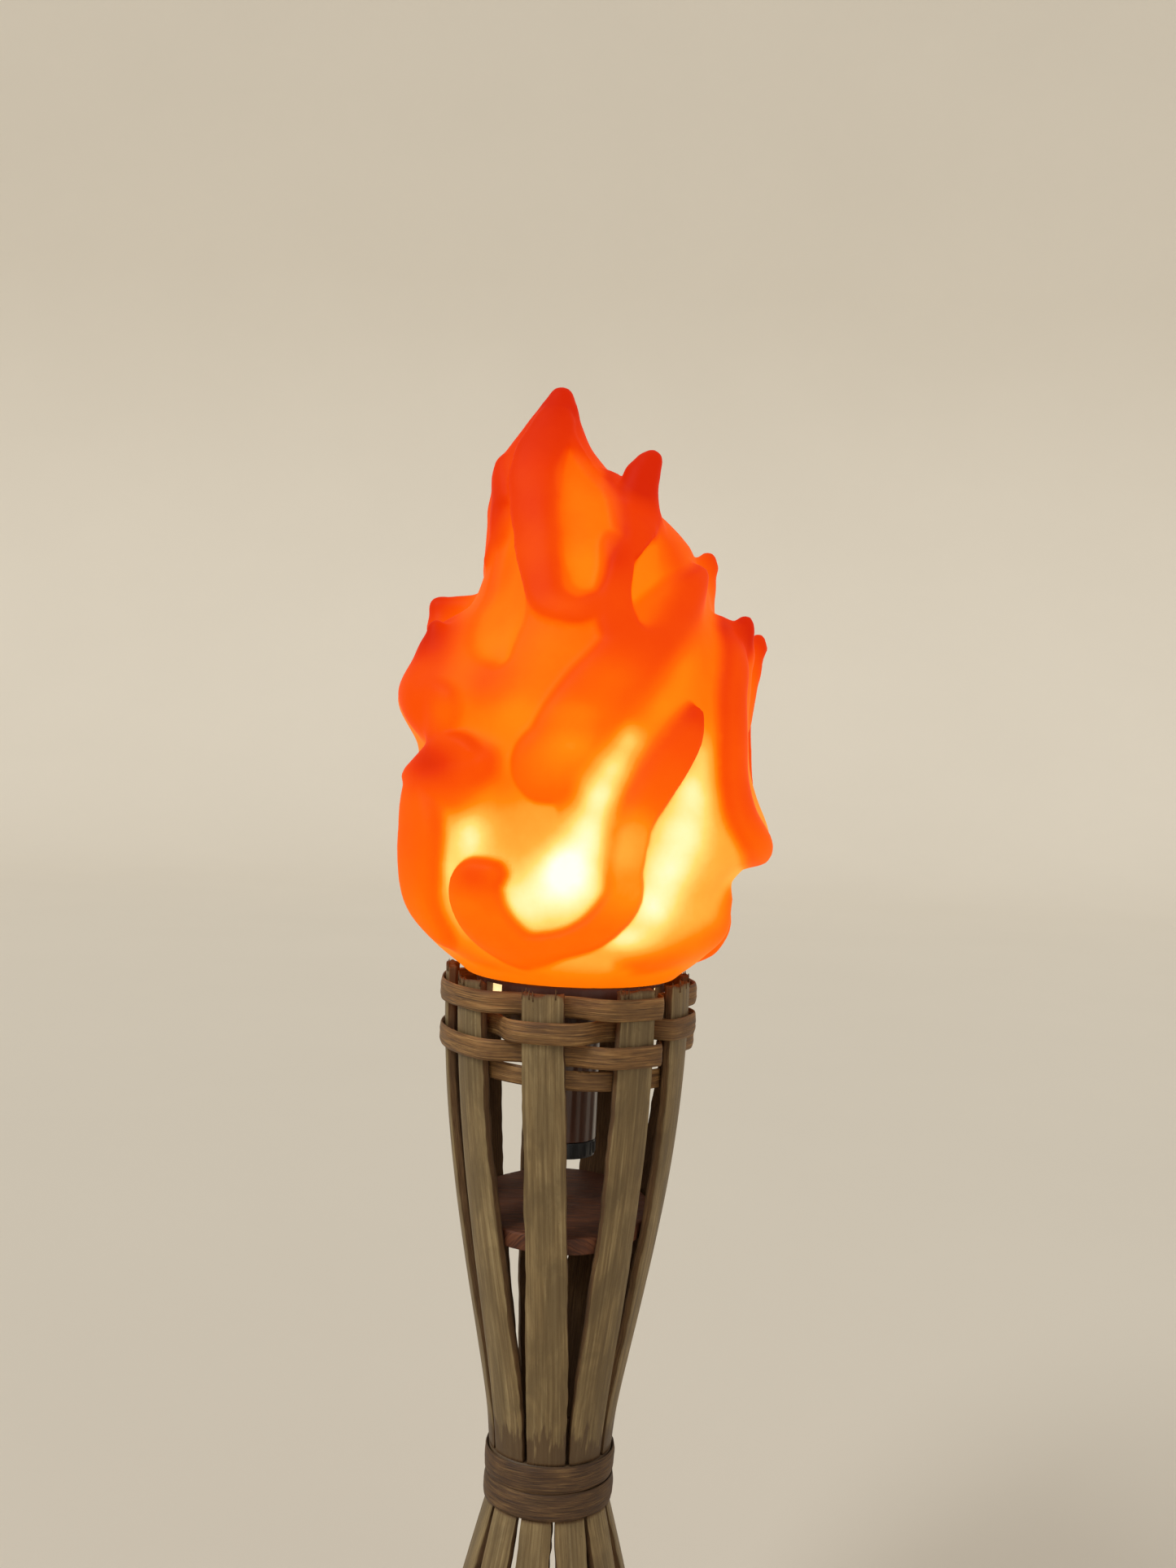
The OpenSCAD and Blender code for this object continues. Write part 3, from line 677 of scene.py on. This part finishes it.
bamboo_strips()
waist_ring()
for number, strand_name in enumerate(STRANDS):
    weaver(strand_name, number + 11)
waist_binding()
disc("basket_spreader", 5)
disc("foot_spreader", 8)


# ---- flame shade

RIM_Z = 350.0  # heights of the flame below are above the basket's rim
NECK = 2.4  # lower edge of the shade
WALL = 3.6
# By height: how far the axis leans sideways, and how much the body is squeezed front to back
LEAN = [(0, 0), (175, 0), (190, -4), (200, -9), (212, -13), (225, -15.5), (242, -14.5)]
DEPTH = [(0, 1), (12, 0.95), (150, 0.94), (200, 0.84), (242, 0.8)]
# Outline of the plain body, (height, reach from the leaning axis): front and back, left, right
MIDDLE = [(0, 38.5), (4, 42), (8, 47), (14, 53.5), (22, 58), (35, 61), (50, 62), (90, 62), (110, 59),
          (130, 54.5), (150, 48), (170, 42), (180, 37), (190, 31), (200, 23.5), (210, 17.5), (220, 11),
          (228, 6), (232, 2), (242, -20)]
LEFT_SIDE = [(0, 38.5), (4, 43), (8, 49), (14, 57), (22, 63), (30, 67), (42, 70), (54, 71), (66, 70),
             (79, 67), (86, 65), (90, 64), (97, 68), (104, 73), (110, 75), (116, 73.5), (122, 69),
             (127, 65), (138, 56), (150, 45), (165, 40.5), (180, 38), (190, 35), (200, 30), (207, 26),
             (215, 19), (225, 10), (230, 5), (232, 2), (242, -20)]
RIGHT_SIDE = [(0, 38.5), (4, 43), (8, 49), (13, 55), (23, 62), (37, 61), (44, 63), (50, 70), (58, 78),
              (65, 77), (75, 72), (87, 68), (100, 67), (125, 66), (136, 60), (145, 51.5), (160, 48),
              (172, 42), (180, 38), (190, 29), (200, 19.5), (210, 13.5), (220, 9.5), (228, 6), (232, 2),
              (242, -20)]
LEFT, RIGHT, BOTH, SOFT = 1, -1, 0, 2  # which side of a tongue, along its route, has the steep edge

# Tongues of flame that lie on the body: relief, steep side, then (turn, height, half width) along each
TONGUES = [
    (7, BOTH, [(-27, 46, 5), (-34, 40, 11), (-31, 27, 11), (-19, 17.5, 8.5), (-5, 20, 6.3), (7, 26, 7),
        (16, 38, 8), (16, 50, 7), (16, 62, 6)]),
    (8, RIGHT, [(17, 50, 6), (19, 67, 6.5), (25, 80, 7.5), (31, 90, 7.5), (37, 100, 6), (40, 109, 2.5)]),
    (5.5, RIGHT, [(66, 164, 4), (49, 154, 8), (33, 144, 10), (21, 134, 12), (12, 123, 13), (2, 112, 13),
        (-7, 98, 12), (-10, 88, 10), (-9, 80, 8)]),
    (5.5, BOTH, [(-1, 100, 9), (-12, 89, 13), (-12, 83, 11)]),
    (5, BOTH, [(14, 171, 6), (14, 162, 6.5), (12, 154, 7), (12, 145, 8.5), (15, 136, 9)]),
    (4.5, BOTH, [(-5, 224, 7), (-23, 213, 9), (-32, 200, 10), (-35, 189, 10), (-31, 173, 10), (-24, 160, 9),
        (-18, 150, 7.5), (-10, 146, 6), (-3, 145, 5.5), (5, 148, 5)]),
    (6, BOTH, [(48, 198, 6), (40, 192, 8.5), (33, 185, 8.5), (25, 176, 6.5), (22, 168, 2.5)]),
    (2, BOTH, [(19, 217, 3), (23, 206, 3), (27, 198, 3), (27, 193, 2)]),
    (3, LEFT, [(-74, 206, 3), (-68, 192, 7), (-70, 180, 6), (-74, 166, 3)]),
    (7, RIGHT, [(80, 146, 3), (69, 136, 6), (60, 120, 8), (59, 100, 9), (58, 83, 9), (59, 69, 9),
        (66, 59, 7), (74, 52, 3)]),
    (4, SOFT, [(72, 36, 5), (66, 24, 7), (50, 18, 6), (35, 13, 5), (22, 12, 3)]),
    (3, SOFT, [(-62, 24, 4), (-46, 13, 5), (-33, 8, 4), (-13, 5, 3)]),
    (8, BOTH, [(-52, 20, 6), (-58, 32, 10), (-58, 45, 12), (-58, 60, 12.5), (-62, 74, 10)]),
    (8, LEFT, [(-67, 80, 7), (-57, 86, 7.5), (-48, 90, 8), (-41, 91, 6), (-36, 90, 3)]),
    (7, SOFT, [(-56, 80, 9), (-43, 84, 9), (-34, 86, 6)]),
    (6, SOFT, [(-62, 104, 8), (-62, 116, 11), (-68, 128, 9), (-76, 138, 5)]),
    (5, RIGHT, [(-57, 95, 4), (-52, 101, 8), (-51, 108, 9), (-54, 114, 5)]),
    (8, BOTH, [(105, 10, 9), (118, 35, 12), (122, 60, 12), (112, 85, 9), (108, 108, 3)]),
    (8, LEFT, [(150, 12, 9), (140, 40, 12), (148, 70, 13), (160, 95, 10), (158, 125, 3)]),
    (8, RIGHT, [(190, 8, 9), (178, 30, 12), (182, 60, 13), (196, 85, 10), (200, 112, 3)]),
    (8, BOTH, [(225, 10, 9), (235, 35, 12), (228, 62, 12), (215, 85, 9), (218, 105, 3)]),
    (8, RIGHT, [(130, 95, 9), (135, 120, 11), (128, 145, 8), (133, 168, 2)]),
    (8, LEFT, [(165, 110, 9), (172, 135, 11), (165, 160, 9), (170, 190, 2)]),
    (8, RIGHT, [(205, 105, 9), (200, 130, 11), (208, 155, 8), (205, 180, 2)]),
    (8, LEFT, [(240, 90, 9), (236, 115, 11), (243, 140, 7), (240, 160, 2)]),
]
# Hollows between them: depth, steep side, route
HOLLOWS = [
    (2.5, SOFT, [(17, 98, 4), (11, 86, 5), (7, 76, 5), (3, 62, 7), (-6, 45, 8)]),
    (3.5, BOTH, [(12, 206, 6), (8, 196, 11), (3, 184, 12), (-2, 170, 10), (-1, 159, 7)]),
    (4.5, RIGHT, [(38, 171, 4), (33, 161, 8.5), (28, 151, 7.5), (24, 143, 3.5)]),
    (4, BOTH, [(-60, 186, 3), (-54, 168, 8), (-46, 154, 11), (-42, 143, 13), (-38, 133, 9),
        (-34, 127, 4.5)]),
    (2, SOFT, [(-15, 12, 2), (0, 15, 3), (12, 14, 3), (24, 10, 2)]),
]
# Free tips that stand off the body: blend into it, then (x, y, height, radius) along each
TIPS = [
    (4.5, [(-15.5, 0, 205, 11), (-15.5, 0, 218, 9.4), (-14.6, 0, 227, 7.2), (-14, 0, 232.5, 5.2)]),
    (1.5, [(22, -16, 160, 13), (18.5, -19, 179, 10), (17, -19, 192, 8.4), (19, -19, 200, 6.8),
        (21.5, -19, 205, 5), (23, -19, 207, 3.6)]),
    (4.5, [(-33, 10, 165, 10), (-33, 10, 188, 9), (-34, 10, 203, 6.6), (-35, 10, 209, 3.6)]),
    (4.5, [(42, 5, 146, 9), (45, 5, 160, 6.5), (47.5, 5, 169, 4.6), (48, 5, 172, 3)]),
    (2.5, [(56, -10, 116, 10), (59, -10, 133, 8), (62, -10, 143, 4.6), (63, -10, 146, 2.8)]),
    (4.5, [(60, 14, 108, 10), (66, 14, 128, 6.5), (70.5, 14, 138, 4), (71, 14, 141, 2.6)]),
    (4.5, [(-53, 12, 122, 11), (-58, 12, 140, 7), (-60, 12, 148, 4.4), (-42, 10, 149, 5.5)]),
    (4.5, [(-54, -22, 112, 10), (-57, -22, 129, 7), (-58, -22, 137, 3.8)]),
    (4.5, [(4, 46, 118, 11), (10, 50, 148, 7), (12, 48, 164, 2.8)]),
    (4.5, [(-14, 38, 150, 10), (-18, 37, 176, 7), (-20, 35, 190, 2.8)]),
    (4.5, [(30, 42, 96, 10), (36, 48, 124, 6.5), (38, 48, 138, 2.6)]),
    (4.5, [(-34, 44, 84, 10), (-40, 50, 112, 6.5), (-42, 50, 126, 2.6)]),
]
VOXEL = 1.25
BAND = 3 * VOXEL  # how far from the wall the distances are kept
MAP_STEP = 1.0  # mm of height and degrees of turn in the maps of the unrolled body
MAP_TOP = 242
SHADE_QUADS = 95000  # the finished shade keeps the triangles of this many quads


def curve(table, v):
    """Value of a table at heights, straight between its rows."""
    return np.interp(v, *zip(*table))


def smooth_curve(table, v):
    """The same with the table's corners rounded off."""
    weights = {-5: 1, -2.5: 2, 0: 2, 2.5: 2, 5: 1}
    return sum(curve(table, np.clip(v + d, 0, MAP_TOP - 1)) * w for d, w in weights.items()) / 8


def body_map(turn, v):
    """Reach of the plain body: rows of height, columns of turn."""
    sine = np.sin(np.radians(turn))[None]
    middle, left, right = (smooth_curve(table, v)[:, None] for table in (MIDDLE, LEFT_SIDE, RIGHT_SIDE))
    side = np.where(sine > 0, right, left)
    return middle + (side - middle) * sine ** 2


def tongue_profile(x, steep):
    """Height share across a tongue: full up to a steep edge, falling slowly on a soft side."""
    sharp = np.sqrt(np.clip(1 - np.abs(x) ** 3.5, 0, 1))
    slope = ease(1 - np.abs(x) / 2.1)
    if steep == BOTH:
        return sharp
    return slope if steep == SOFT else np.where(x * steep >= 0, sharp, slope)


def relief_of(route, steep, turn, v, body):
    """Height share from 0 to 1 of one tongue over the unrolled body."""
    knots = np.array(route, float)
    knots[:, 0] = np.degrees(np.unwrap(np.radians(knots[:, 0])))
    length = np.hypot(np.diff(knots[:, 0]), np.diff(knots[:, 1])).sum()
    line = spline(knots, int(length / 1.5))
    slope = np.gradient(line, axis=0)
    best, x = np.full(body.shape, 1e9), np.full(body.shape, 9.0)
    for (t, h, half), (dt, dh, _) in zip(line, slope):
        rows = np.abs(v - h) < half * 2.2 + 3
        per_degree = np.maximum(body[rows], 0).mean() * math.pi / 180
        away = ((turn - t + 180) % 360 - 180)[None] * per_degree
        up = (v[rows] - h)[:, None]
        along = np.array([dt * per_degree, dh]) / (math.hypot(dt * per_degree, dh) + 1e-9)
        near = np.hypot(away, up) / max(half, 0.8)
        side = along[0] * up - along[1] * away
        closer = near < best[rows]
        best[rows] = np.where(closer, near, best[rows])
        x[rows] = np.where(closer, near * np.where(side < 0, -1, 1), x[rows])
    return tongue_profile(x, steep)


def blur(table):
    for axis in (0, 1):
        table = (np.roll(table, 1, axis) + 2 * table + np.roll(table, -1, axis)) / 4
    return table


def flame_maps():
    """Reach of the plain body and relief on it, over rows of height and columns of turn."""
    turn = np.arange(-180, 180, MAP_STEP)
    v = np.arange(0, MAP_TOP, MAP_STEP)
    body = body_map(turn, v)
    relief = np.zeros(body.shape)
    for height, steep, route in TONGUES:
        relief = np.maximum(relief, height * relief_of(route, steep, turn, v, body))
    for depth, steep, route in HOLLOWS:
        relief -= depth * relief_of(route, steep, turn, v, body)
    return body, blur(relief * ease((v - 3) / 8)[:, None])


def look_up(table, turn, v):
    """Bilinear value of a map at turns and heights."""
    rows, cols = table.shape
    v = np.clip(v / MAP_STEP, 0, rows - 1.001)
    t = (turn + 180) / MAP_STEP
    i, j = np.floor(v).astype(int), np.floor(t).astype(int)
    a, b = v - i, t - j
    j, k = j % cols, (j + 1) % cols
    return mix(mix(table[i, j], table[i, k], b), mix(table[i + 1, j], table[i + 1, k], b), a)


def unroll(x, y, v):
    """Turn and distance from the leaning axis."""
    dx, dy = x - curve(LEAN, v), y / curve(DEPTH, v)
    return np.degrees(np.arctan2(dx, -dy)), np.hypot(dx, dy)


def soft_min(a, b, k):
    h = np.clip(0.5 + 0.5 * (b - a) / k, 0, 1)
    return mix(b, a, h) - k * h * (1 - h)


def tip_field(chain, x, y, v):
    """Distance to a chain of round cones."""
    best = None
    for a, b in zip(chain[:-1], chain[1:]):
        a, b = np.array(a, float), np.array(b, float)
        way = b[:3] - a[:3]
        off = [place - start for place, start in zip((x, y, v), a)]
        t = np.clip(sum(o * w for o, w in zip(off, way)) / (way @ way), 0, 1)
        d = np.sqrt(sum((o - t * w) ** 2 for o, w in zip(off, way))) - mix(a[3], b[3], t)
        best = d if best is None else soft_min(best, d, 2.0)
    return best


def flame_field(body_table, relief_table):
    """Signed distance over a block of voxels, and the block's lowest corner."""
    low = np.array([-84.0, -80.0, -2.0])
    axes = [np.arange(a, b, VOXEL) for a, b in zip(low, (86.0, 80.0, 246.0))]
    x, y, v = axes[0][:, None, None], axes[1][None, :, None], axes[2][None, None, :]
    turn, reach = unroll(x, y, v)
    body, relief = look_up(body_table, turn, v), look_up(relief_table, turn, v)
    taper = np.gradient(smooth_curve(MIDDLE, axes[2]), VOXEL)
    steep = 1 / np.sqrt(1 + taper ** 2)[None, None]
    field = (reach - body - relief) * steep
    for blend, chain in TIPS:
        box = np.array(chain)
        pad = box[:, 3].max() + 8
        cut = tuple(slice(*np.searchsorted(axes[k], (box[:, k].min() - pad, box[:, k].max() + pad)))
                    for k in range(3))
        block = tip_field(chain, x[cut[0]], y[:, cut[1]], v[:, :, cut[2]])
        field[cut] = soft_min(field[cut], block, blend)
    cavity = (body + 1.1 * np.minimum(relief, 0) - WALL / steep) * ease((208 - v) / 14) ** 0.5
    field = np.maximum(field, (cavity - reach) * steep)
    return np.maximum(field, NECK - v), low


def fewer_faces(points, quads, wanted):
    """The same surface with its faces thinned out where it is smooth."""
    mesh = bpy.data.meshes.new("dense")
    mesh.from_pydata(points.tolist(), [], quads.tolist())
    dense = add_object("dense", mesh)
    thin = dense.modifiers.new("thin", "DECIMATE")
    thin.ratio = min(1.0, wanted / len(quads))
    result = bpy.data.meshes.new_from_object(dense.evaluated_get(bpy.context.evaluated_depsgraph_get()))
    co = np.zeros(len(result.vertices) * 3)
    result.vertices.foreach_get("co", co)
    faces = [tuple(p.vertices) for p in result.polygons]
    bpy.data.objects.remove(dense)
    bpy.data.meshes.remove(mesh)
    bpy.data.meshes.remove(result)
    return co.reshape(-1, 3), faces


def flame_mesh(body_table, relief_table):
    field, low = flame_field(body_table, relief_table)
    grid = openvdb.FloatGrid(BAND)
    grid.copyFromArray(np.clip(field, -BAND, BAND).astype(np.float32))
    points, _, quads = grid.convertToPolygons(0.0, 0.0)
    points = points * VOXEL + low
    ring = np.concatenate([quads[:, [k, (k + 1) % 4]] for k in range(4)])
    count = np.maximum(np.bincount(ring[:, 0], minlength=len(points)), 1)[:, None]
    for _ in range(2):
        sums = [np.bincount(ring[:, 0], points[ring[:, 1], k], len(points)) for k in range(3)]
        total = np.stack(sums, -1)
        moved = mix(points, total / count, 0.45)
        moved[:, 2] = np.where(points[:, 2] < NECK + 0.3, points[:, 2], moved[:, 2])
        points = moved
    return fewer_faces(points, quads, SHADE_QUADS)


# Light that reaches the wall at a height: through a bare valley, and through a thick tongue
GLOW = [(0, 0.48, 0.40), (8, 0.56, 0.43), (16, 0.62, 0.45), (30, 0.72, 0.46), (50, 0.72, 0.44),
        (70, 0.64, 0.40), (90, 0.56, 0.34), (110, 0.50, 0.28), (150, 0.44, 0.21), (185, 0.34, 0.16),
        (205, 0.22, 0.10), (225, 0.08, 0.05), (242, 0.02, 0.02)]
# Places in the valleys that glow otherwise: turn, height, reach across, reach up, glow in hundredths
VALLEY_SPOTS = [
    (-16, 66, 17, 12, 68), (-38, 58, 9, 13, 88), (-45, 46, 7, 10, 82), (-25, 76, 9, 7, 61),
    (-16, 36, 15, 11, 89), (0, 42, 12, 12, 87), (4, 61, 9, 12, 83), (-3, 48, 9, 9, 98),
    (8, 77, 9, 9, 82), (12, 87, 9, 9, 77), (17, 97, 8, 8, 72), (45, 92, 7, 11, 76),
    (40, 78, 10, 12, 89), (36, 64, 12, 12, 90), (33, 50, 11, 12, 92), (29, 36, 10, 10, 93),
    (20, 24, 12, 6, 88), (60, 46, 9, 16, 69), (4, 12, 16, 4, 64), (-38, 15, 14, 5, 62),
    (27, 113, 11, 12, 62), (35, 127, 9, 13, 60), (-14, 130, 10, 11, 51), (-23, 104, 10, 8, 60),
    (-44, 142, 12, 9, 40), (-36, 129, 6, 6, 44), (-36, 118, 9, 9, 35), (-46, 106, 5, 7, 45),
    (3, 188, 14, 14, 40), (22, 186, 9, 12, 38), (20, 199, 8, 8, 34), (-2, 162, 9, 9, 46),
    (30, 156, 9, 10, 42), (-52, 162, 10, 13, 30), (-74, 131, 14, 9, 10), (-38, 158, 8, 16, 36),
    (-68, 190, 8, 12, 12), (50, 168, 7, 12, 30), (-46, 74, 11, 7, 40), (-27, 80, 8, 6, 50),
]
# The same on the tongues
TONGUE_SPOTS = [
    (16, 62, 10, 10, 62), (14, 55, 12, 13, 70), (18, 42, 11, 9, 62), (-32, 44, 9, 7, 28),
    (-36, 32, 9, 7, 48), (36, 100, 10, 9, 28), (40, 107, 6, 5, 16), (49, 154, 12, 8, 22),
    (26, 139, 13, 11, 23), (8, 119, 14, 10, 40), (-2, 106, 14, 8, 52), (-9, 86, 16, 12, 49),
    (-3, 94, 11, 8, 61), (-58, 58, 12, 14, 38), (-56, 26, 12, 10, 48), (-54, 86, 17, 9, 8),
    (-33, 86, 9, 9, 30), (-47, 105, 7, 8, 44), (-60, 112, 14, 12, 29), (-70, 132, 14, 8, 8),
    (-68, 190, 10, 12, 6), (74, 140, 10, 9, 10), (60, 115, 10, 16, 24), (60, 78, 10, 14, 26),
    (50, 19, 14, 6, 52), (12, 168, 6, 8, 12), (12, 150, 8, 7, 24), (-31, 195, 12, 12, 18),
    (-30, 168, 10, 11, 26), (-10, 146, 10, 5, 31),
]


def spotted(glow, spots, turn, v, body):
    """Glow blended towards that of each spot near it."""
    for t, h, wide, tall, wanted in spots:
        away = ((turn - t + 180) % 360 - 180) / 180 * math.pi * np.maximum(body, 5)
        glow = mix(glow, wanted / 100, np.exp(-(away / wide) ** 2 - ((v - h) / tall) ** 2))
    return glow


def heat_of(points, body_table, relief_table):
    """How brightly each point of the wall glows, from 0 at the red tips to 1 at the white core."""
    v = points[:, 2]
    turn, reach = unroll(*points.T)
    body = look_up(body_table, turn, v)
    thick = look_up(relief_table, turn, v)
    outer = reach > body + 1.05 * np.minimum(thick, 0) - WALL / 2
    thick = np.where(outer, thick, 0)
    up, sideways = np.gradient(relief_table)
    # edge: how steep the sides of the tongues are; the glow is lowered there, partly for the thicker vinyl
    # and partly as painted shade where a tongue overlaps the wall
    edge = look_up(blur(np.hypot(up, sideways)), turn, v) * outer
    stand_off = np.clip(reach - body - np.maximum(thick, 0), 0, 16)
    height, valley, tongue = zip(*GLOW)
    valley = spotted(np.interp(v, height, valley), VALLEY_SPOTS, turn, v, body)
    tongue = spotted(np.interp(v, height, tongue), TONGUE_SPOTS, turn, v, body)
    heat = mix(valley, tongue, ease(thick / 4.5)) + 0.035 * np.clip(-thick, 0, 4)
    # the edge term is partly painted shade along the overlapping tongue edges
    return np.clip(heat - 0.022 * stand_off - 0.05 * np.clip(edge - 0.6, 0, 1.5), 0, 1)


def flame_shade():
    tables = flame_maps()
    points, faces = flame_mesh(*tables)
    make_piece("flame_shade_vinyl", points + np.array([0, 0, RIM_Z]), faces, "shade", FLAME, ["flame_shade"],
               lit=heat_of(points, *tables))


flame_shade()


# ---- lamp finishes

GLOW_WARM = colour(255, 214, 150)
LAMP_FINISHES = {
    "mount_plate": plastic_finish("plate_plastic", colour(58, 52, 48), 0.5),
    "battery_tube": plastic_finish("tube_plastic", colour(84, 50, 35), 0.3, 0.02, Coat_Weight=0.3),
    "lamp_stem": plastic_finish("black_plastic", colour(26, 25, 26), 0.38),
    "light_collar": glow_finish("frosted_plastic", colour(235, 225, 205), GLOW_WARM, 1.3),
    "led_emitter": glow_finish("led_lens", colour(240, 220, 120), colour(255, 236, 190), 3.0, 0.2),
    "plate_screws": metal_finish("screw_steel", colour(190, 190, 188), 0.32),
    "led_board": board_finish(),
    "lead_wires": plastic_finish("wire_jacket", colour(168, 34, 26), 0.4, 0.02),
    "cell_1": cell_finish(),
    "contact_spring": metal_finish("spring_steel", colour(205, 200, 185), 0.25),
    "cap_seal": plastic_finish("seal_rubber", colour(40, 40, 42), 0.7),
    "switch_body": plastic_finish("switch_plastic", colour(214, 210, 200), 0.45),
    "push_button": plastic_finish("button_rubber", colour(120, 28, 24), 0.6, 0.06),
    "shade_ring": plastic_finish("ring_plastic", colour(72, 42, 26), 0.45),
}
BY_SLOT = {SLOT_OF[node]: finish for node, finish in LAMP_FINISHES.items()}


def finish_cad_node(name, piece):
    """A CAD node that stays: its own finish, rounded edges and smooth shading."""
    slot = SLOT_OF[name]
    piece.data.materials.clear()
    piece.data.materials.append(BY_SLOT[slot])
    piece.data.shade_smooth()
    weld = piece.modifiers.new("weld", "WELD")
    weld.merge_threshold = 1e-5
    smallest = min(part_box(name)[1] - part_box(name)[0])
    bevel = piece.modifiers.new("bevel", "BEVEL")
    bevel.width = min(0.3 * MM, smallest * 0.12)
    bevel.segments = 2
    bevel.limit_method = "ANGLE"
    bevel.angle_limit = math.radians(38)
    bevel.harden_normals = True


for node_name, cad_piece in frame["nodes"].items():
    if not cad_piece.hide_render:
        finish_cad_node(node_name, cad_piece)


# ---- studio and camera

def studio():
    """A very large pale floor that curves up into a backdrop."""
    half, sweep_y, sweep_r, top = 9.0, 4.0, 2.5, 6.0
    curve_points = arc((sweep_y, sweep_r), sweep_r, -90, 0, 16)
    profile = [(-6.0, 0.0), (sweep_y * 0.5, 0.0)] + curve_points + [(sweep_y + sweep_r, top)]
    points = [(x, y, z) for y, z in profile for x in (-half, half)]
    faces = [(2 * k, 2 * k + 1, 2 * k + 3, 2 * k + 2) for k in range(len(profile) - 1)]
    mesh = bpy.data.meshes.new("studio_floor")
    mesh.from_pydata(points, [], faces)
    mesh.shade_smooth()
    f = Finish("studio_paper", Roughness=0.9, Specular_IOR_Level=0.1)
    tone = f.noise(f.node("ShaderNodeTexCoord", {}, "Object"), 1.5, 4)
    f.set(Base_Color=f.ramp(tone, (0.3, colour(226, 217, 201)), (0.7, colour(228, 219, 203))))
    mesh.materials.append(f.material)
    floor = add_object("studio_floor", mesh)


def soft_sun(name, come_from, spread, strength, tone):
    """An even, soft-edged light from one direction."""
    light = bpy.data.lights.new(name, "SUN")
    light.angle, light.energy, light.color = math.radians(spread), strength, tone
    add_object(name, light).rotation_euler = (-Vector(come_from)).to_track_quat("-Z", "Y").to_euler()


def photo_camera():
    """A close view from the height of the flame, rolled by a small hand-held tilt."""
    data = bpy.data.cameras.new("camera")
    data.lens, data.sensor_width = 36.4, 36.0
    data.clip_start = 0.01
    place, target, roll = Vector((0.0, -0.64, 0.446)), Vector((0.0035, 0.0, 0.429)), math.radians(2.57)
    look = (target - place).normalized()
    right = look.cross(Vector((0, 0, 1))).normalized()
    up = right.cross(look)
    right, up = right * math.cos(roll) + up * math.sin(roll), up * math.cos(roll) - right * math.sin(roll)
    turned = Matrix((right, up, -look)).transposed().to_4x4()
    camera = add_object("camera", data)
    camera.matrix_world = Matrix.Translation(place) @ turned
    bpy.context.scene.camera = camera


studio()
soft_sun("key", (-1.0, -0.75, 1.1), 28, 1.5, (0.95, 0.98, 1.0))
soft_sun("fill", (1.0, -1.2, 0.6), 50, 0.35, (1.0, 0.93, 0.84))
world = bpy.data.worlds.new("world")
world.use_nodes = True
background = world.node_tree.nodes["Background"].inputs
background["Color"].default_value = (1.0, 0.96, 0.9, 1)
background["Strength"].default_value = 0.42
bpy.context.scene.world = world
bpy.context.scene.view_settings.view_transform = "Standard"
photo_camera()
